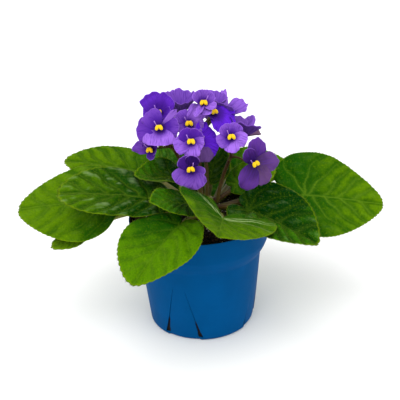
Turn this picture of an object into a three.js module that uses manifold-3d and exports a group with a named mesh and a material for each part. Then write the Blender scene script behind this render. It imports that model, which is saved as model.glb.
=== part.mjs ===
// Potted African violet: a plastic nursery pot with its potting mix, a rosette of hairy heart-shaped
// leaves on round stalks, and branching flower stalks that carry five-lobed violet flowers.
// Millimetres, +Z up. The origin is the centre of the pot's underside, its front faces -Y.

import * as THREE from "three";
import { mergeGeometries, mergeVertices } from "three/addons/utils/BufferGeometryUtils.js";
import Module from "manifold-3d";

const wasm = await Module();
wasm.setup();

// ---------------------------------------------------------------- driving dimensions

const POT = {
  height: 89,
  rimRadius: 55,
  collarFootRadius: 54.2,
  collarFootHeight: 72,
  stepRadius: 52,
  stepHeight: 66.5,
  shoulderRadius: 48.5,
  shoulderHeight: 61,
  footRadius: 43,
  footRounding: 1.6,
  wall: 1.1,
  floor: 1.4,
  sides: 36,
};

const TAB = {
  count: 4,
  firstTurn: -112,
  slitHeight: 46,
  topHalfAngle: 6.5,
  footHalfAngle: 19,
  topWidth: 0.8,
  footWidth: 2.6,
  footLand: 3,
  cutDepth: 26,
};

const DRAIN = { count: 6, circle: 27, radius: 4, sides: 10 };

const MIX = { edgeHeight: 83, moundRadius: 24, moundHeight: 85, centreRadius: 8, centreHeight: 86.5 };

const CROWN = { x: 6, y: 2, radius: 8, rounding: 2.5, foot: 87.5, top: 103, sides: 12 };

// Clear space kept between neighbouring pieces.
const GAP = 0.35;

const LEAF = {
  thickness: 1.5,
  edgeThinning: 0.5,
  point: 0.08,
  pointSpread: 0.25,
  notch: 0.8,
  notchSpread: 0.3,
  around: 16,
  rings: 3,
};

const LEAF_STALK = { radius: 2.1, rise: 0.25, underBlade: 4, fromCrown: 1, steps: 6, sides: 5 };

const PETAL = { thickness: 0.8, edgeThinning: 0.6, waist: 0.74, throat: 2.4, around: 20, rings: 2 };

const ANTHER = { radius: 1.7, tall: 1.15, deep: 0.8, apart: 0.75, forward: 1.2, around: 6, rings: 3 };

const CALYX = { radius: 2, length: 3.6 };
const PEDUNCLE = { radius: 1.4, steps: 5, sides: 5 };
const PEDICEL = { radius: 0.8, steps: 4, sides: 4, rootDepth: 1, intoCalyx: 1 };

const COLOURS = {
  pot: 0x005a94,
  mix: 0x2b2019,
  crown: 0x55662b,
  leafLight: 0x4c8a1e,
  leafMid: 0x2f7318,
  leafDark: 0x1f5c17,
  stalk: 0x4a2a20,
  petal: 0x7a52c8,
  anther: 0xf2c81e,
};

// Leaves. "joint" is where the stalk meets the blade and "tip" is the blade's far end. "width" is
// flat, "lobe" is how far the heart's lobes reach back past the joint, and "taper" moves the widest
// part towards the joint. Angles are in degrees:
// "roll" lowers the side on the right of somebody who looks from joint to tip, "arch" lifts the
// midrib's start, "droop" lowers its end, "fold" lifts both halves, and "curl" bends the margins
// down. "turn" and "height" say where the stalk leaves the crown, and "sag" bends the stalk.
const LEAVES = [
  { name: "leaf_far_left", joint: [-69, -12, 109], tip: [-140, -4, 102], width: 70, lobe: 11, taper: 0.24,
    roll: -33, arch: 4, droop: 3, fold: 3, curl: 0.07, turn: 184, height: 93, sag: 3,
    tone: "leafLight" },
  { name: "leaf_left", joint: [-37, -22, 113.5], tip: [-102, -31, 123.5], width: 53.5, lobe: 20, taper: -0.02,
    roll: -22, arch: 6, droop: 10, fold: 11, curl: 0.06, turn: 212, height: 98, sag: 2,
    tone: "leafDark" },
  { name: "leaf_back_left", joint: [-48, 42, 111.5], tip: [-110.5, 49, 122], width: 55, lobe: 13.5, taper: 0.15,
    roll: -19, arch: 6, droop: 6, fold: 7, curl: 0.06, turn: 150, height: 95, sag: 2,
    tone: "leafLight" },
  { name: "leaf_low_left", joint: [-82, -22, 91], tip: [-112, -29, 79], width: 24, lobe: 3, taper: 0.1,
    roll: -20, arch: 4, droop: 4, fold: 6, curl: 0.06, turn: 196, height: 89, sag: 8,
    tone: "leafLight" },
  { name: "leaf_inner_left", joint: [-16, -8, 124], tip: [-47, -14, 130], width: 34, lobe: 5, taper: 0.1,
    roll: -16, arch: -10, droop: -16, fold: 16, curl: -0.2, turn: 200, height: 101, sag: -2,
    tone: "leafDark" },
  { name: "leaf_inner_front", joint: [-7, -34, 112], tip: [-34, -49, 121], width: 37, lobe: 6, taper: 0.1,
    roll: -16, arch: 6, droop: 8, fold: 8, curl: 0.06, turn: 248, height: 97, sag: 2,
    tone: "leafMid" },
  { name: "leaf_front", joint: [17, -52, 108], tip: [11, -94, 112], width: 76, lobe: 14, taper: 0.2,
    roll: -24, arch: 2, droop: 6, fold: 20, curl: 0.05, turn: 282, height: 94, sag: 2,
    tone: "leafLight" },
  { name: "leaf_front_left", joint: [-14, -52, 104], tip: [-45, -98, 82.5], width: 60, lobe: 10.2, taper: 0.01,
    roll: -3, arch: 12, droop: 10, fold: 14.5, curl: 0.06, turn: 258, height: 91, sag: 4,
    tone: "leafMid" },
  { name: "leaf_right", joint: [36, -29, 104], tip: [83, -64, 89], width: 60, lobe: 13, taper: 0.1,
    roll: 18, arch: 8, droop: 8, fold: 28, curl: 0.1, turn: 318, height: 95, sag: 3,
    tone: "leafDark" },
  { name: "leaf_far_right", joint: [81.5, 3.5, 100.5], tip: [146.5, 2, 89], width: 77, lobe: 27, taper: 0.24,
    roll: 38, arch: 6, droop: 3, fold: 9, curl: 0.04, turn: 354, height: 93, sag: 6,
    tone: "leafLight" },
  { name: "leaf_back_right", joint: [38, 34, 111], tip: [76, 54, 113], width: 46, lobe: 8, taper: 0.15,
    roll: 24, arch: 8, droop: 8, fold: 8, curl: 0.06, turn: 35, height: 96, sag: 2,
    tone: "leafMid" },
  { name: "leaf_inner_back", joint: [10, 10, 114], tip: [18, 26, 140], width: 34, lobe: 5, taper: 0.1,
    roll: 0, arch: -6, droop: -8, fold: 10, curl: -0.1, turn: 75, height: 101, sag: -2,
    tone: "leafDark" },
  { name: "leaf_inner_right", joint: [29, 0, 112], tip: [62, 8, 122], width: 34, lobe: 6, taper: 0.15,
    roll: 24, arch: 4, droop: 8, fold: 8, curl: 0.06, turn: 350, height: 100, sag: 0,
    tone: "leafMid" },
  { name: "leaf_rear_left", joint: [-26, 50, 109], tip: [-56, 92, 111], width: 54, lobe: 17, taper: 0.15,
    roll: -8, arch: 10, droop: 12, fold: 8, curl: 0.06, turn: 122, height: 92, sag: 3,
    tone: "leafMid" },
  { name: "leaf_rear", joint: [2, 50, 95], tip: [4, 99, 95], width: 64, lobe: 20, taper: 0.1,
    roll: 4, arch: 12, droop: 12, fold: 6, curl: 0.06, turn: 98, height: 96, sag: 3,
    tone: "leafLight" },
  { name: "leaf_rear_right", joint: [30, 52, 108], tip: [56, 98, 100], width: 50, lobe: 9, taper: 0.15,
    roll: 8, arch: 10, droop: 12, fold: 8, curl: 0.06, turn: 60, height: 91, sag: 3,
    tone: "leafMid" },
];

// Flowers. "eye" is the middle of the face and "faces" is the way it looks. "size" is the usual
// length of a lobe, and "lobes" scales it for the lowest lobe and then on anticlockwise, as seen
// from the front. "cup" bends the lobes forward and "spin" turns the face. "stalk" carries it.
const FLOWERS = [
  { eye: [-25, -24, 167], faces: [-0.15, -0.85, 0.45], size: 15, lobes: [0.85, 0.92, 0.95, 0.98, 1.15],
    cup: 0, spin: 4, stalk: "left" },
  { eye: [-26, -5, 173], faces: [-0.2, -0.7, 0.6], size: 11.5, lobes: [0.6, 0.85, 1.28, 1.32, 0.95],
    cup: 0.35, spin: 0, stalk: "left" },
  { eye: [-10, 6, 171], faces: [0.05, -0.2, 1], size: 11, lobes: [1, 1, 1.05, 1.1, 1],
    cup: 1.1, spin: 10, stalk: "left" },
  { eye: [7, -14, 181], faces: [0.05, -0.85, 0.5], size: 9.5, lobes: [1.1, 0.95, 0.95, 0.95, 1.2],
    cup: 0.5, spin: -4, stalk: "centre" },
  { eye: [15, 4, 173], faces: [0.1, -0.15, 1], size: 9.5, lobes: [1, 1, 1.1, 1, 1],
    cup: 0.95, spin: 0, stalk: "centre" },
  { eye: [24.5, 4, 169], faces: [0.25, -0.2, 0.95], size: 13, lobes: [0.8, 1.1, 1.15, 1.25, 0.7],
    cup: 0.55, spin: -70, stalk: "right" },
  { eye: [-4, -16, 167], faces: [0, -0.9, 0.35], size: 10, lobes: [0.9, 1.05, 1.52, 1.15, 1],
    cup: 0.1, spin: 0, stalk: "centre" },
  { eye: [-3, -34, 159], faces: [-0.05, -0.9, 0.4], size: 10.5, lobes: [1.1, 0.88, 0.9, 0.98, 1.25],
    cup: 0.1, spin: 0, stalk: "front" },
  { eye: [-33, -16, 148.6], faces: [-0.5, -0.8, 0.15], size: 10, lobes: [0.72, 0.68, 0.75, 0.85, 1.35],
    cup: 0.2, spin: 8, stalk: "left" },
  { eye: [-4, -42, 141.5], faces: [-0.1, -0.95, 0.2], size: 12.5, lobes: [1.15, 0.8, 0.8, 0.85, 1.15],
    cup: 0.2, spin: 10, stalk: "front" },
  { eye: [25, -32, 160.5], faces: [0.1, -0.9, 0.4], size: 10.8, lobes: [1.05, 1.1, 0.98, 0.95, 1],
    cup: 0.1, spin: 0, stalk: "right" },
  { eye: [14, -11, 173], faces: [0.3, -0.6, 0.7], size: 12, lobes: [1.3, 1.5, 0.8, 0.4, 0.45],
    cup: 0, spin: 0, stalk: "centre" },
  { eye: [3.3, -20, 153.5], faces: [0.2, -0.9, 0.3], size: 13, lobes: [1.1, 1.12, 1.05, 1.2, 0.6],
    cup: 0.1, spin: 0, stalk: "front" },
  { eye: [35, -3, 154], faces: [0.3, -0.15, 0.92], size: 12, lobes: [1.15, 1.2, 0.95, 1.1, 1.2],
    cup: 0.85, spin: 0, stalk: "right" },
  { eye: [41, -38, 142], faces: [0.3, -0.85, 0.25], size: 18, lobes: [0.92, 1, 1.03, 0.7, 1.03],
    cup: 0, spin: 20, stalk: "right" },
  { eye: [-20, 26, 168], faces: [-0.35, 0.75, 0.5], size: 13, lobes: [1, 1, 1.1, 0.9, 1],
    cup: 0.1, spin: 0, stalk: "rear" },
  { eye: [14, 30, 166], faces: [0.15, 0.85, 0.45], size: 13, lobes: [1.1, 1, 0.9, 1, 1],
    cup: 0, spin: 0, stalk: "rear" },
];

// Flower stalks: each leaves the crown, rises to a fork and sends one thin stalk to each flower.
const STALKS = {
  left: { leaves: [-3, 1, 98], fork: [-17, -6, 146], bend: [-6, 0, 126] },
  front: { leaves: [3, -5.6, 101], fork: [-2, -20, 140], bend: [2, -10, 122] },
  centre: { leaves: [7, 4, 103.4], fork: [5, 0, 152], bend: [9, 2, 128] },
  right: { leaves: [15, -0.5, 99], fork: [25, -12, 138], bend: [18, -4, 120] },
  rear: { leaves: [4, 10, 100.5], fork: [0, 16, 144], bend: [4, 14, 124] },
};

// ---------------------------------------------------------------- helpers

const UP = new THREE.Vector3(0, 0, 1);
const NORMAL_STEP = 0.5;
const radians = THREE.MathUtils.degToRad;

function vector(numbers) {
  return new THREE.Vector3(...numbers);
}

function toSolid(geometry) {
  const bare = geometry.clone();
  bare.deleteAttribute("normal");
  bare.deleteAttribute("uv");
  const merged = mergeVertices(bare);
  return new wasm.Manifold(new wasm.Mesh({
    numProp: 3,
    vertProperties: new Float32Array(merged.attributes.position.array),
    triVerts: new Uint32Array(merged.index.array),
  }));
}

function toGeometry(solid) {
  const mesh = solid.getMesh();
  const geometry = new THREE.BufferGeometry();
  geometry.setAttribute("position", new THREE.BufferAttribute(mesh.vertProperties, 3));
  geometry.setIndex(new THREE.BufferAttribute(mesh.triVerts, 1));
  geometry.computeVertexNormals();
  return geometry;
}

function tube(curve, radius, steps, sides) {
  const section = new THREE.Shape();
  for (let i = 0; i < sides; i += 1) {
    const angle = (2 * Math.PI * i) / sides;
    const x = radius * Math.cos(angle);
    const y = radius * Math.sin(angle);
    if (i === 0) {
      section.moveTo(x, y);
    } else {
      section.lineTo(x, y);
    }
  }
  return toSolid(new THREE.ExtrudeGeometry(section, { steps, extrudePath: curve, bevelEnabled: false }));
}

function lathe(profile, sides) {
  const points = profile.map(([radius, height]) => new THREE.Vector2(radius, height));
  const geometry = new THREE.LatheGeometry(points, sides);
  geometry.rotateX(Math.PI / 2);
  return toSolid(geometry);
}

// A closed thin sheet: one half ball is shaped into the sheet's face and its copy into the back.
function sheet(around, rings, place) {
  const halfBall = new THREE.SphereGeometry(1, around, rings, 0, 2 * Math.PI, 0, Math.PI / 2);
  const rim = 1 - 1 / (2 * rings);
  const skins = [1, -1].map((face) => {
    const skin = halfBall.clone();
    const position = skin.attributes.position;
    for (let i = 0; i < position.count; i += 1) {
      const height = THREE.MathUtils.clamp(position.getY(i), 0, 1);
      const reach = 1 - Math.asin(height) / (Math.PI / 2);
      const turn = Math.atan2(position.getZ(i), position.getX(i));
      const point = place(reach, turn, reach > rim ? 0 : face);
      position.setXYZ(i, point.x, point.y, point.z);
    }
    return face > 0 ? skin : turnedOver(skin);
  });
  const closed = mergeGeometries(skins);
  const solid = toSolid(closed);
  return solid.volume() > 0 ? solid : toSolid(turnedOver(closed));
}

function turnedOver(geometry) {
  const index = geometry.index;
  for (let i = 0; i < index.count; i += 3) {
    const first = index.getX(i);
    index.setX(i, index.getX(i + 1));
    index.setX(i + 1, first);
  }
  return geometry;
}

// ---------------------------------------------------------------- pot and what fills it

// The pot's outer wall from the foot to the rim, as [radius, height].
const WALL_LINE = [
  [POT.footRadius, POT.footRounding],
  [POT.shoulderRadius, POT.shoulderHeight],
  [POT.stepRadius, POT.stepHeight],
  [POT.collarFootRadius, POT.collarFootHeight],
  [POT.rimRadius, POT.height],
];

function insideWall(inset, floor) {
  const line = WALL_LINE.map(([radius, height]) => [radius - inset, height]);
  line[0][1] = floor;
  return line;
}

function makePot() {
  let pot = lathe([
    [0, 0],
    [POT.footRadius - POT.footRounding, 0],
    ...WALL_LINE,
    ...insideWall(POT.wall, POT.floor).reverse(),
    [0, POT.floor],
  ], POT.sides);
  for (let i = 0; i < TAB.count; i += 1) {
    for (const lean of [-1, 1]) {
      pot = pot.subtract(slitCutter(TAB.firstTurn + (360 * i) / TAB.count, lean));
    }
  }
  for (let i = 0; i < DRAIN.count; i += 1) {
    pot = pot.subtract(drainCutter((2 * Math.PI * (i + 0.5)) / DRAIN.count));
  }
  return pot;
}

// A slanted wedge through the wall, narrow at its top and wide at its foot.
function slitCutter(turn, lean) {
  const radius = POT.footRadius;
  const topAt = lean * radius * radians(TAB.topHalfAngle);
  const footAt = lean * radius * radians(TAB.footHalfAngle);
  const wedge = new THREE.Shape();
  wedge.moveTo(topAt - TAB.topWidth / 2, TAB.slitHeight);
  wedge.lineTo(footAt - TAB.footWidth / 2, TAB.footLand);
  wedge.lineTo(footAt + TAB.footWidth / 2, TAB.footLand);
  wedge.lineTo(topAt + TAB.topWidth / 2, TAB.slitHeight);
  const cutter = new THREE.ExtrudeGeometry(wedge, { depth: TAB.cutDepth, bevelEnabled: false });
  cutter.rotateX(Math.PI / 2);
  cutter.rotateZ(Math.PI);
  cutter.translate(0, radius - TAB.cutDepth / 2, 0);
  cutter.rotateZ(radians(turn - 90));
  return toSolid(cutter);
}

function drainCutter(turn) {
  const hole = new THREE.CylinderGeometry(DRAIN.radius, DRAIN.radius, 4 * POT.floor, DRAIN.sides);
  hole.rotateX(Math.PI / 2);
  hole.translate(DRAIN.circle * Math.cos(turn), DRAIN.circle * Math.sin(turn), 0);
  return toSolid(hole);
}

// Potting mix fills the pot to just below the rim and mounds up around the crown.
function makeMix() {
  const side = insideWall(POT.wall + GAP, POT.floor + GAP).slice(0, -1);
  const topEdge = POT.collarFootRadius - POT.wall - GAP;
  return lathe([
    [0, POT.floor + GAP],
    ...side,
    [topEdge, MIX.edgeHeight],
    [MIX.moundRadius, MIX.moundHeight],
    [MIX.centreRadius, MIX.centreHeight],
    [0, MIX.centreHeight],
  ], POT.sides);
}

function makeCrown() {
  const solid = lathe([
    [0, CROWN.foot],
    [CROWN.radius - CROWN.rounding, CROWN.foot],
    [CROWN.radius, CROWN.foot + CROWN.rounding],
    [CROWN.radius, CROWN.top - 3 * CROWN.rounding],
    [CROWN.radius - CROWN.rounding, CROWN.top],
    [0, CROWN.top],
  ], CROWN.sides);
  return solid.translate([CROWN.x, CROWN.y, 0]);
}

// ---------------------------------------------------------------- leaves

// A heart outline: an oval that narrows towards the tip, with a point at the tip and a notch at
// the stalk. Returns the place in the flat blade, x along the midrib and y to its right.
function heartPoint(leaf, length, reach, turn, extra) {
  const halfLength = (length / (1 + LEAF.point) + leaf.lobe) / 2;
  const halfWidth = leaf.width / 2;
  const middle = halfLength - leaf.lobe;
  const cos = Math.cos(turn);
  const sin = Math.sin(turn);
  const a = (cos / halfLength) ** 2 + (sin / halfWidth) ** 2;
  const b = (-2 * middle * cos) / halfLength ** 2;
  const c = (middle / halfLength) ** 2 - 1;
  const oval = (-b + Math.sqrt(b * b - 4 * a * c)) / (2 * a);
  const point = 1 + LEAF.point * Math.exp(-((turn / LEAF.pointSpread) ** 2));
  const fromStalk = Math.PI - Math.abs(turn);
  const notch = 1 - LEAF.notch * Math.exp(-((fromStalk / LEAF.notchSpread) ** 2));
  const far = (oval * point * notch + extra) * reach;
  const x = far * cos;
  const y = far * sin * (1 - leaf.taper * ((x - middle) / halfLength));
  return { x, y };
}

function bladeFrame(leaf) {
  const joint = vector(leaf.joint);
  const tip = vector(leaf.tip);
  const along = tip.clone().sub(joint);
  const length = along.length();
  along.normalize();
  const side = new THREE.Vector3().crossVectors(along, UP).normalize();
  side.applyAxisAngle(along, radians(leaf.roll));
  const start = along.clone().applyAxisAngle(side, radians(leaf.arch));
  const end = along.clone().applyAxisAngle(side, -radians(leaf.droop));
  const midrib = new THREE.CubicBezierCurve3(
    joint,
    joint.clone().addScaledVector(start, length / 3),
    tip.clone().addScaledVector(end, -length / 3),
    tip,
  );
  return { joint, length, side, start, midrib };
}

function bladePoint(leaf, frame, x, y) {
  const t = THREE.MathUtils.clamp(x / frame.length, 0, 1);
  const at = frame.midrib.getPoint(t);
  const tangent = x > 0 ? frame.midrib.getTangent(t) : frame.start;
  if (x < 0) {
    at.addScaledVector(frame.start, x);
  }
  const normal = new THREE.Vector3().crossVectors(frame.side, tangent);
  const out = Math.abs(y);
  const lift = out * Math.sin(radians(leaf.fold)) - (leaf.curl * y * y) / (leaf.width / 2);
  at.addScaledVector(frame.side, y * Math.cos(radians(leaf.fold)));
  return at.addScaledVector(normal, lift);
}

function bladeNormal(leaf, frame, x, y) {
  const here = bladePoint(leaf, frame, x, y);
  const ahead = bladePoint(leaf, frame, x + NORMAL_STEP, y).sub(here);
  const aside = bladePoint(leaf, frame, x, y + NORMAL_STEP).sub(here);
  return aside.cross(ahead).normalize();
}

function makeLeaf(leaf, extra) {
  const frame = bladeFrame(leaf);
  const half = LEAF.thickness / 2;
  const blade = sheet(LEAF.around, LEAF.rings, (reach, turn, face) => {
    const { x, y } = heartPoint(leaf, frame.length, reach, turn, extra);
    const thick = (half * (1 - LEAF.edgeThinning * reach) + extra) * face;
    return bladePoint(leaf, frame, x, y).addScaledVector(bladeNormal(leaf, frame, x, y), thick);
  });
  return blade.add(makeLeafStalk(leaf, frame, extra));
}

function crownPoint(turn, height, clearance) {
  const angle = radians(turn);
  const radius = CROWN.radius + clearance;
  return new THREE.Vector3(
    CROWN.x + radius * Math.cos(angle),
    CROWN.y + radius * Math.sin(angle),
    height,
  );
}

function makeLeafStalk(leaf, frame, extra) {
  const turn = radians(leaf.turn);
  const away = new THREE.Vector3(Math.cos(turn), Math.sin(turn), LEAF_STALK.rise);
  const from = crownPoint(leaf.turn, leaf.height, GAP + LEAF_STALK.fromCrown - extra);
  const normal = bladeNormal(leaf, frame, 0, 0);
  const to = frame.joint.clone()
    .addScaledVector(frame.start, LEAF_STALK.underBlade)
    .addScaledVector(normal, -LEAF.thickness / 2);
  const pull = from.distanceTo(to) / 3;
  const curve = new THREE.CubicBezierCurve3(
    from,
    from.clone().addScaledVector(away, pull),
    to.clone().addScaledVector(frame.start, -pull).addScaledVector(UP, leaf.sag),
    to,
  );
  return tube(curve, LEAF_STALK.radius + extra, LEAF_STALK.steps, LEAF_STALK.sides);
}

// ---------------------------------------------------------------- flowers

function flowerFrame(flower) {
  const faces = vector(flower.faces).normalize();
  const across = new THREE.Vector3().crossVectors(UP, faces).normalize();
  const upward = new THREE.Vector3().crossVectors(faces, across);
  across.applyAxisAngle(faces, radians(flower.spin));
  upward.applyAxisAngle(faces, radians(flower.spin));
  return { eye: vector(flower.eye), faces, across, upward };
}

// Five lobes: two above, two at the sides and one below. "turn" is measured from the side.
function petalReach(flower, turn) {
  const fifth = (2 * Math.PI) / 5;
  const fromFoot = turn + Math.PI / 2;
  const lobe = Math.round(fromFoot / fifth);
  const off = (fromFoot - lobe * fifth) / (fifth / 2);
  const own = flower.lobes[(lobe + 5) % 5];
  const next = flower.lobes[(lobe + Math.sign(off) + 5) % 5];
  const scale = own + ((next - own) / 2) * Math.abs(off) ** 3;
  return flower.size * scale * (PETAL.waist + (1 - PETAL.waist) * Math.cos((off * Math.PI) / 2));
}

function makePetals(flower, extra) {
  const frame = flowerFrame(flower);
  return sheet(PETAL.around, PETAL.rings, (reach, turn, face) => {
    const far = (petalReach(flower, turn) + extra) * reach;
    const bowl = (flower.cup * far * far) / flower.size;
    const throat = -PETAL.throat * Math.max(0, 1 - far / flower.size) ** 2;
    const steepness = Math.hypot(1, (2 * flower.cup * far) / flower.size);
    const thick = ((PETAL.thickness / 2) * (1 - PETAL.edgeThinning * reach) + extra) * steepness * face;
    return frame.eye.clone()
      .addScaledVector(frame.across, far * Math.cos(turn))
      .addScaledVector(frame.upward, far * Math.sin(turn))
      .addScaledVector(frame.faces, bowl + throat + thick);
  });
}

// Two rounded anthers side by side, standing just in front of the throat.
function makeAnthers(flower) {
  const frame = flowerFrame(flower);
  const toFlower = new THREE.Matrix4().makeBasis(frame.across, frame.upward, frame.faces);
  toFlower.setPosition(frame.eye);
  const pair = [-1, 1].map((hand) => {
    const ball = new THREE.SphereGeometry(ANTHER.radius, ANTHER.around, ANTHER.rings);
    ball.rotateX(Math.PI / 2);
    ball.scale(1, ANTHER.tall, ANTHER.deep);
    ball.translate(hand * ANTHER.radius * ANTHER.apart, 0, ANTHER.forward);
    return toSolid(ball.applyMatrix4(toFlower));
  });
  return pair[0].add(pair[1]);
}

function makeStalk(name, extra) {
  const stalk = STALKS[name];
  const fork = vector(stalk.fork);
  const bend = vector(stalk.bend);
  const stem = new THREE.QuadraticBezierCurve3(vector(stalk.leaves), bend, fork);
  let solid = tube(stem, PEDUNCLE.radius + extra, PEDUNCLE.steps, PEDUNCLE.sides);
  const rising = fork.clone().sub(bend).normalize();
  for (const flower of FLOWERS.filter((each) => each.stalk === name)) {
    const frame = flowerFrame(flower);
    const back = PETAL.throat + PETAL.thickness / 2 + GAP - extra;
    const cupTop = frame.eye.clone().addScaledVector(frame.faces, -back);
    const cupFoot = cupTop.clone().addScaledVector(frame.faces, -CALYX.length - extra);
    const pull = fork.distanceTo(cupFoot) / 3;
    const root = fork.clone().addScaledVector(rising, -PEDICEL.rootDepth);
    const thin = new THREE.CubicBezierCurve3(
      root,
      root.clone().addScaledVector(rising, pull),
      cupFoot.clone().addScaledVector(frame.faces, -pull),
      cupFoot.clone().addScaledVector(frame.faces, PEDICEL.intoCalyx),
    );
    const cup = tube(new THREE.LineCurve3(cupFoot, cupTop), CALYX.radius + extra, 1, PEDUNCLE.sides);
    const pedicel = tube(thin, PEDICEL.radius + extra, PEDICEL.steps, PEDICEL.sides);
    solid = solid.add(pedicel).add(cup);
  }
  return solid;
}

// ---------------------------------------------------------------- assembly

const group = new THREE.Group();
const placed = [];

// Adds one piece, cut back where it would touch a piece that is already in place.
function put(name, solid, keepOut, colour, roughness) {
  let kept = solid;
  const box = solid.boundingBox();
  for (const other of placed) {
    const clear = [0, 1, 2].some((i) => other.box.min[i] > box.max[i] || other.box.max[i] < box.min[i]);
    if (!clear) {
      kept = kept.subtract(other.keepOut);
    }
  }
  const bodies = kept.decompose().sort((a, b) => b.volume() - a.volume());
  const mesh = new THREE.Mesh(
    toGeometry(bodies[0]),
    new THREE.MeshStandardMaterial({ color: colour, roughness, metalness: 0 }),
  );
  mesh.name = name;
  group.add(mesh);
  if (keepOut) {
    placed.push({ keepOut, box: keepOut.boundingBox() });
  }
}

put("nursery_pot", makePot(), null, COLOURS.pot, 0.45);
put("potting_mix", makeMix(), null, COLOURS.mix, 0.95);
put("crown_stem", makeCrown(), null, COLOURS.crown, 0.8);

for (const name of Object.keys(STALKS)) {
  put(`flower_stalk_${name}`, makeStalk(name, 0), makeStalk(name, GAP), COLOURS.stalk, 0.7);
}

for (const leaf of LEAVES) {
  put(leaf.name, makeLeaf(leaf, 0), makeLeaf(leaf, GAP), COLOURS[leaf.tone], 0.7);
}

FLOWERS.forEach((flower, i) => {
  const name = `flower_${String(i + 1).padStart(2, "0")}`;
  put(`${name}_petals`, makePetals(flower, 0), makePetals(flower, GAP), COLOURS.petal, 0.6);
  put(`${name}_stamens`, makeAnthers(flower), null, COLOURS.anther, 0.6);
});

export default group;
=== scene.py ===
# A potted African violet: a blue nursery pot with its potting mix, a rosette of hairy quilted leaves,
# and a dome of five-lobed violet flowers on branching stalks. The tables below are in millimetres,
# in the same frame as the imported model: +Z up, the front of the plant towards -Y.

import math

import bpy
import numpy as np
from mathutils import Matrix, Vector


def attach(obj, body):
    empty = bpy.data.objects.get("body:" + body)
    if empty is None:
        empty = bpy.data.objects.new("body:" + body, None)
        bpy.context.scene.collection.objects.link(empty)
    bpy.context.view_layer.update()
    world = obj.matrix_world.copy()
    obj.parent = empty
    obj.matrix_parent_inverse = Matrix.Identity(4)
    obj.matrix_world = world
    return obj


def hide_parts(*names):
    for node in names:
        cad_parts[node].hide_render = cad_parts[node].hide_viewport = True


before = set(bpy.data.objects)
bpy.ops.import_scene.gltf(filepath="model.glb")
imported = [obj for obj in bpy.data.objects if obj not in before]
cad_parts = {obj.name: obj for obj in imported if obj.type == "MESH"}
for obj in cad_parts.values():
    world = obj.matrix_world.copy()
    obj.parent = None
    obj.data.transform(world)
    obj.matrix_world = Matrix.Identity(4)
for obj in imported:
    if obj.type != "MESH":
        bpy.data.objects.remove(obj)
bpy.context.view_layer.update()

bl_info = {
    "name": "Potted African violet",
    "version": (1, 0, 0),
    "blender": (4, 5, 0),
    "location": "3D View > Sidebar > African violet",
    "description": "Builds a flowering African violet in its nursery pot",
    "category": "Add Mesh",
}

MM = 0.001

# ---------------------------------------------------------------- measurements of the pieces

POT = {"height": 89, "rim": 55, "collar": 54.2, "collar_foot": 72, "step": 52, "step_height": 66.5,
       "shoulder": 48.5, "shoulder_height": 61, "foot": 43, "foot_height": 1.6, "wall": 1.1, "floor": 1.4}
TAB = {"count": 4, "first": -112, "height": 46, "top_half_angle": 6.5, "foot_half_angle": 19, "land": 3}
DRAIN = {"count": 6, "circle": 27, "radius": 4}
MIX = {"edge": 83, "mound": 24, "mound_height": 85, "centre": 8, "centre_height": 86.5}
CROWN = {"x": 6, "y": 2, "radius": 8, "foot": 87.5, "top": 103}
GAP = 0.35
LEAF_POINT, LEAF_POINT_SPREAD = 0.08, 0.25
LEAF_NOTCH, LEAF_NOTCH_SPREAD = 0.8, 0.3
STALK_RADIUS = 2.1

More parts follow.
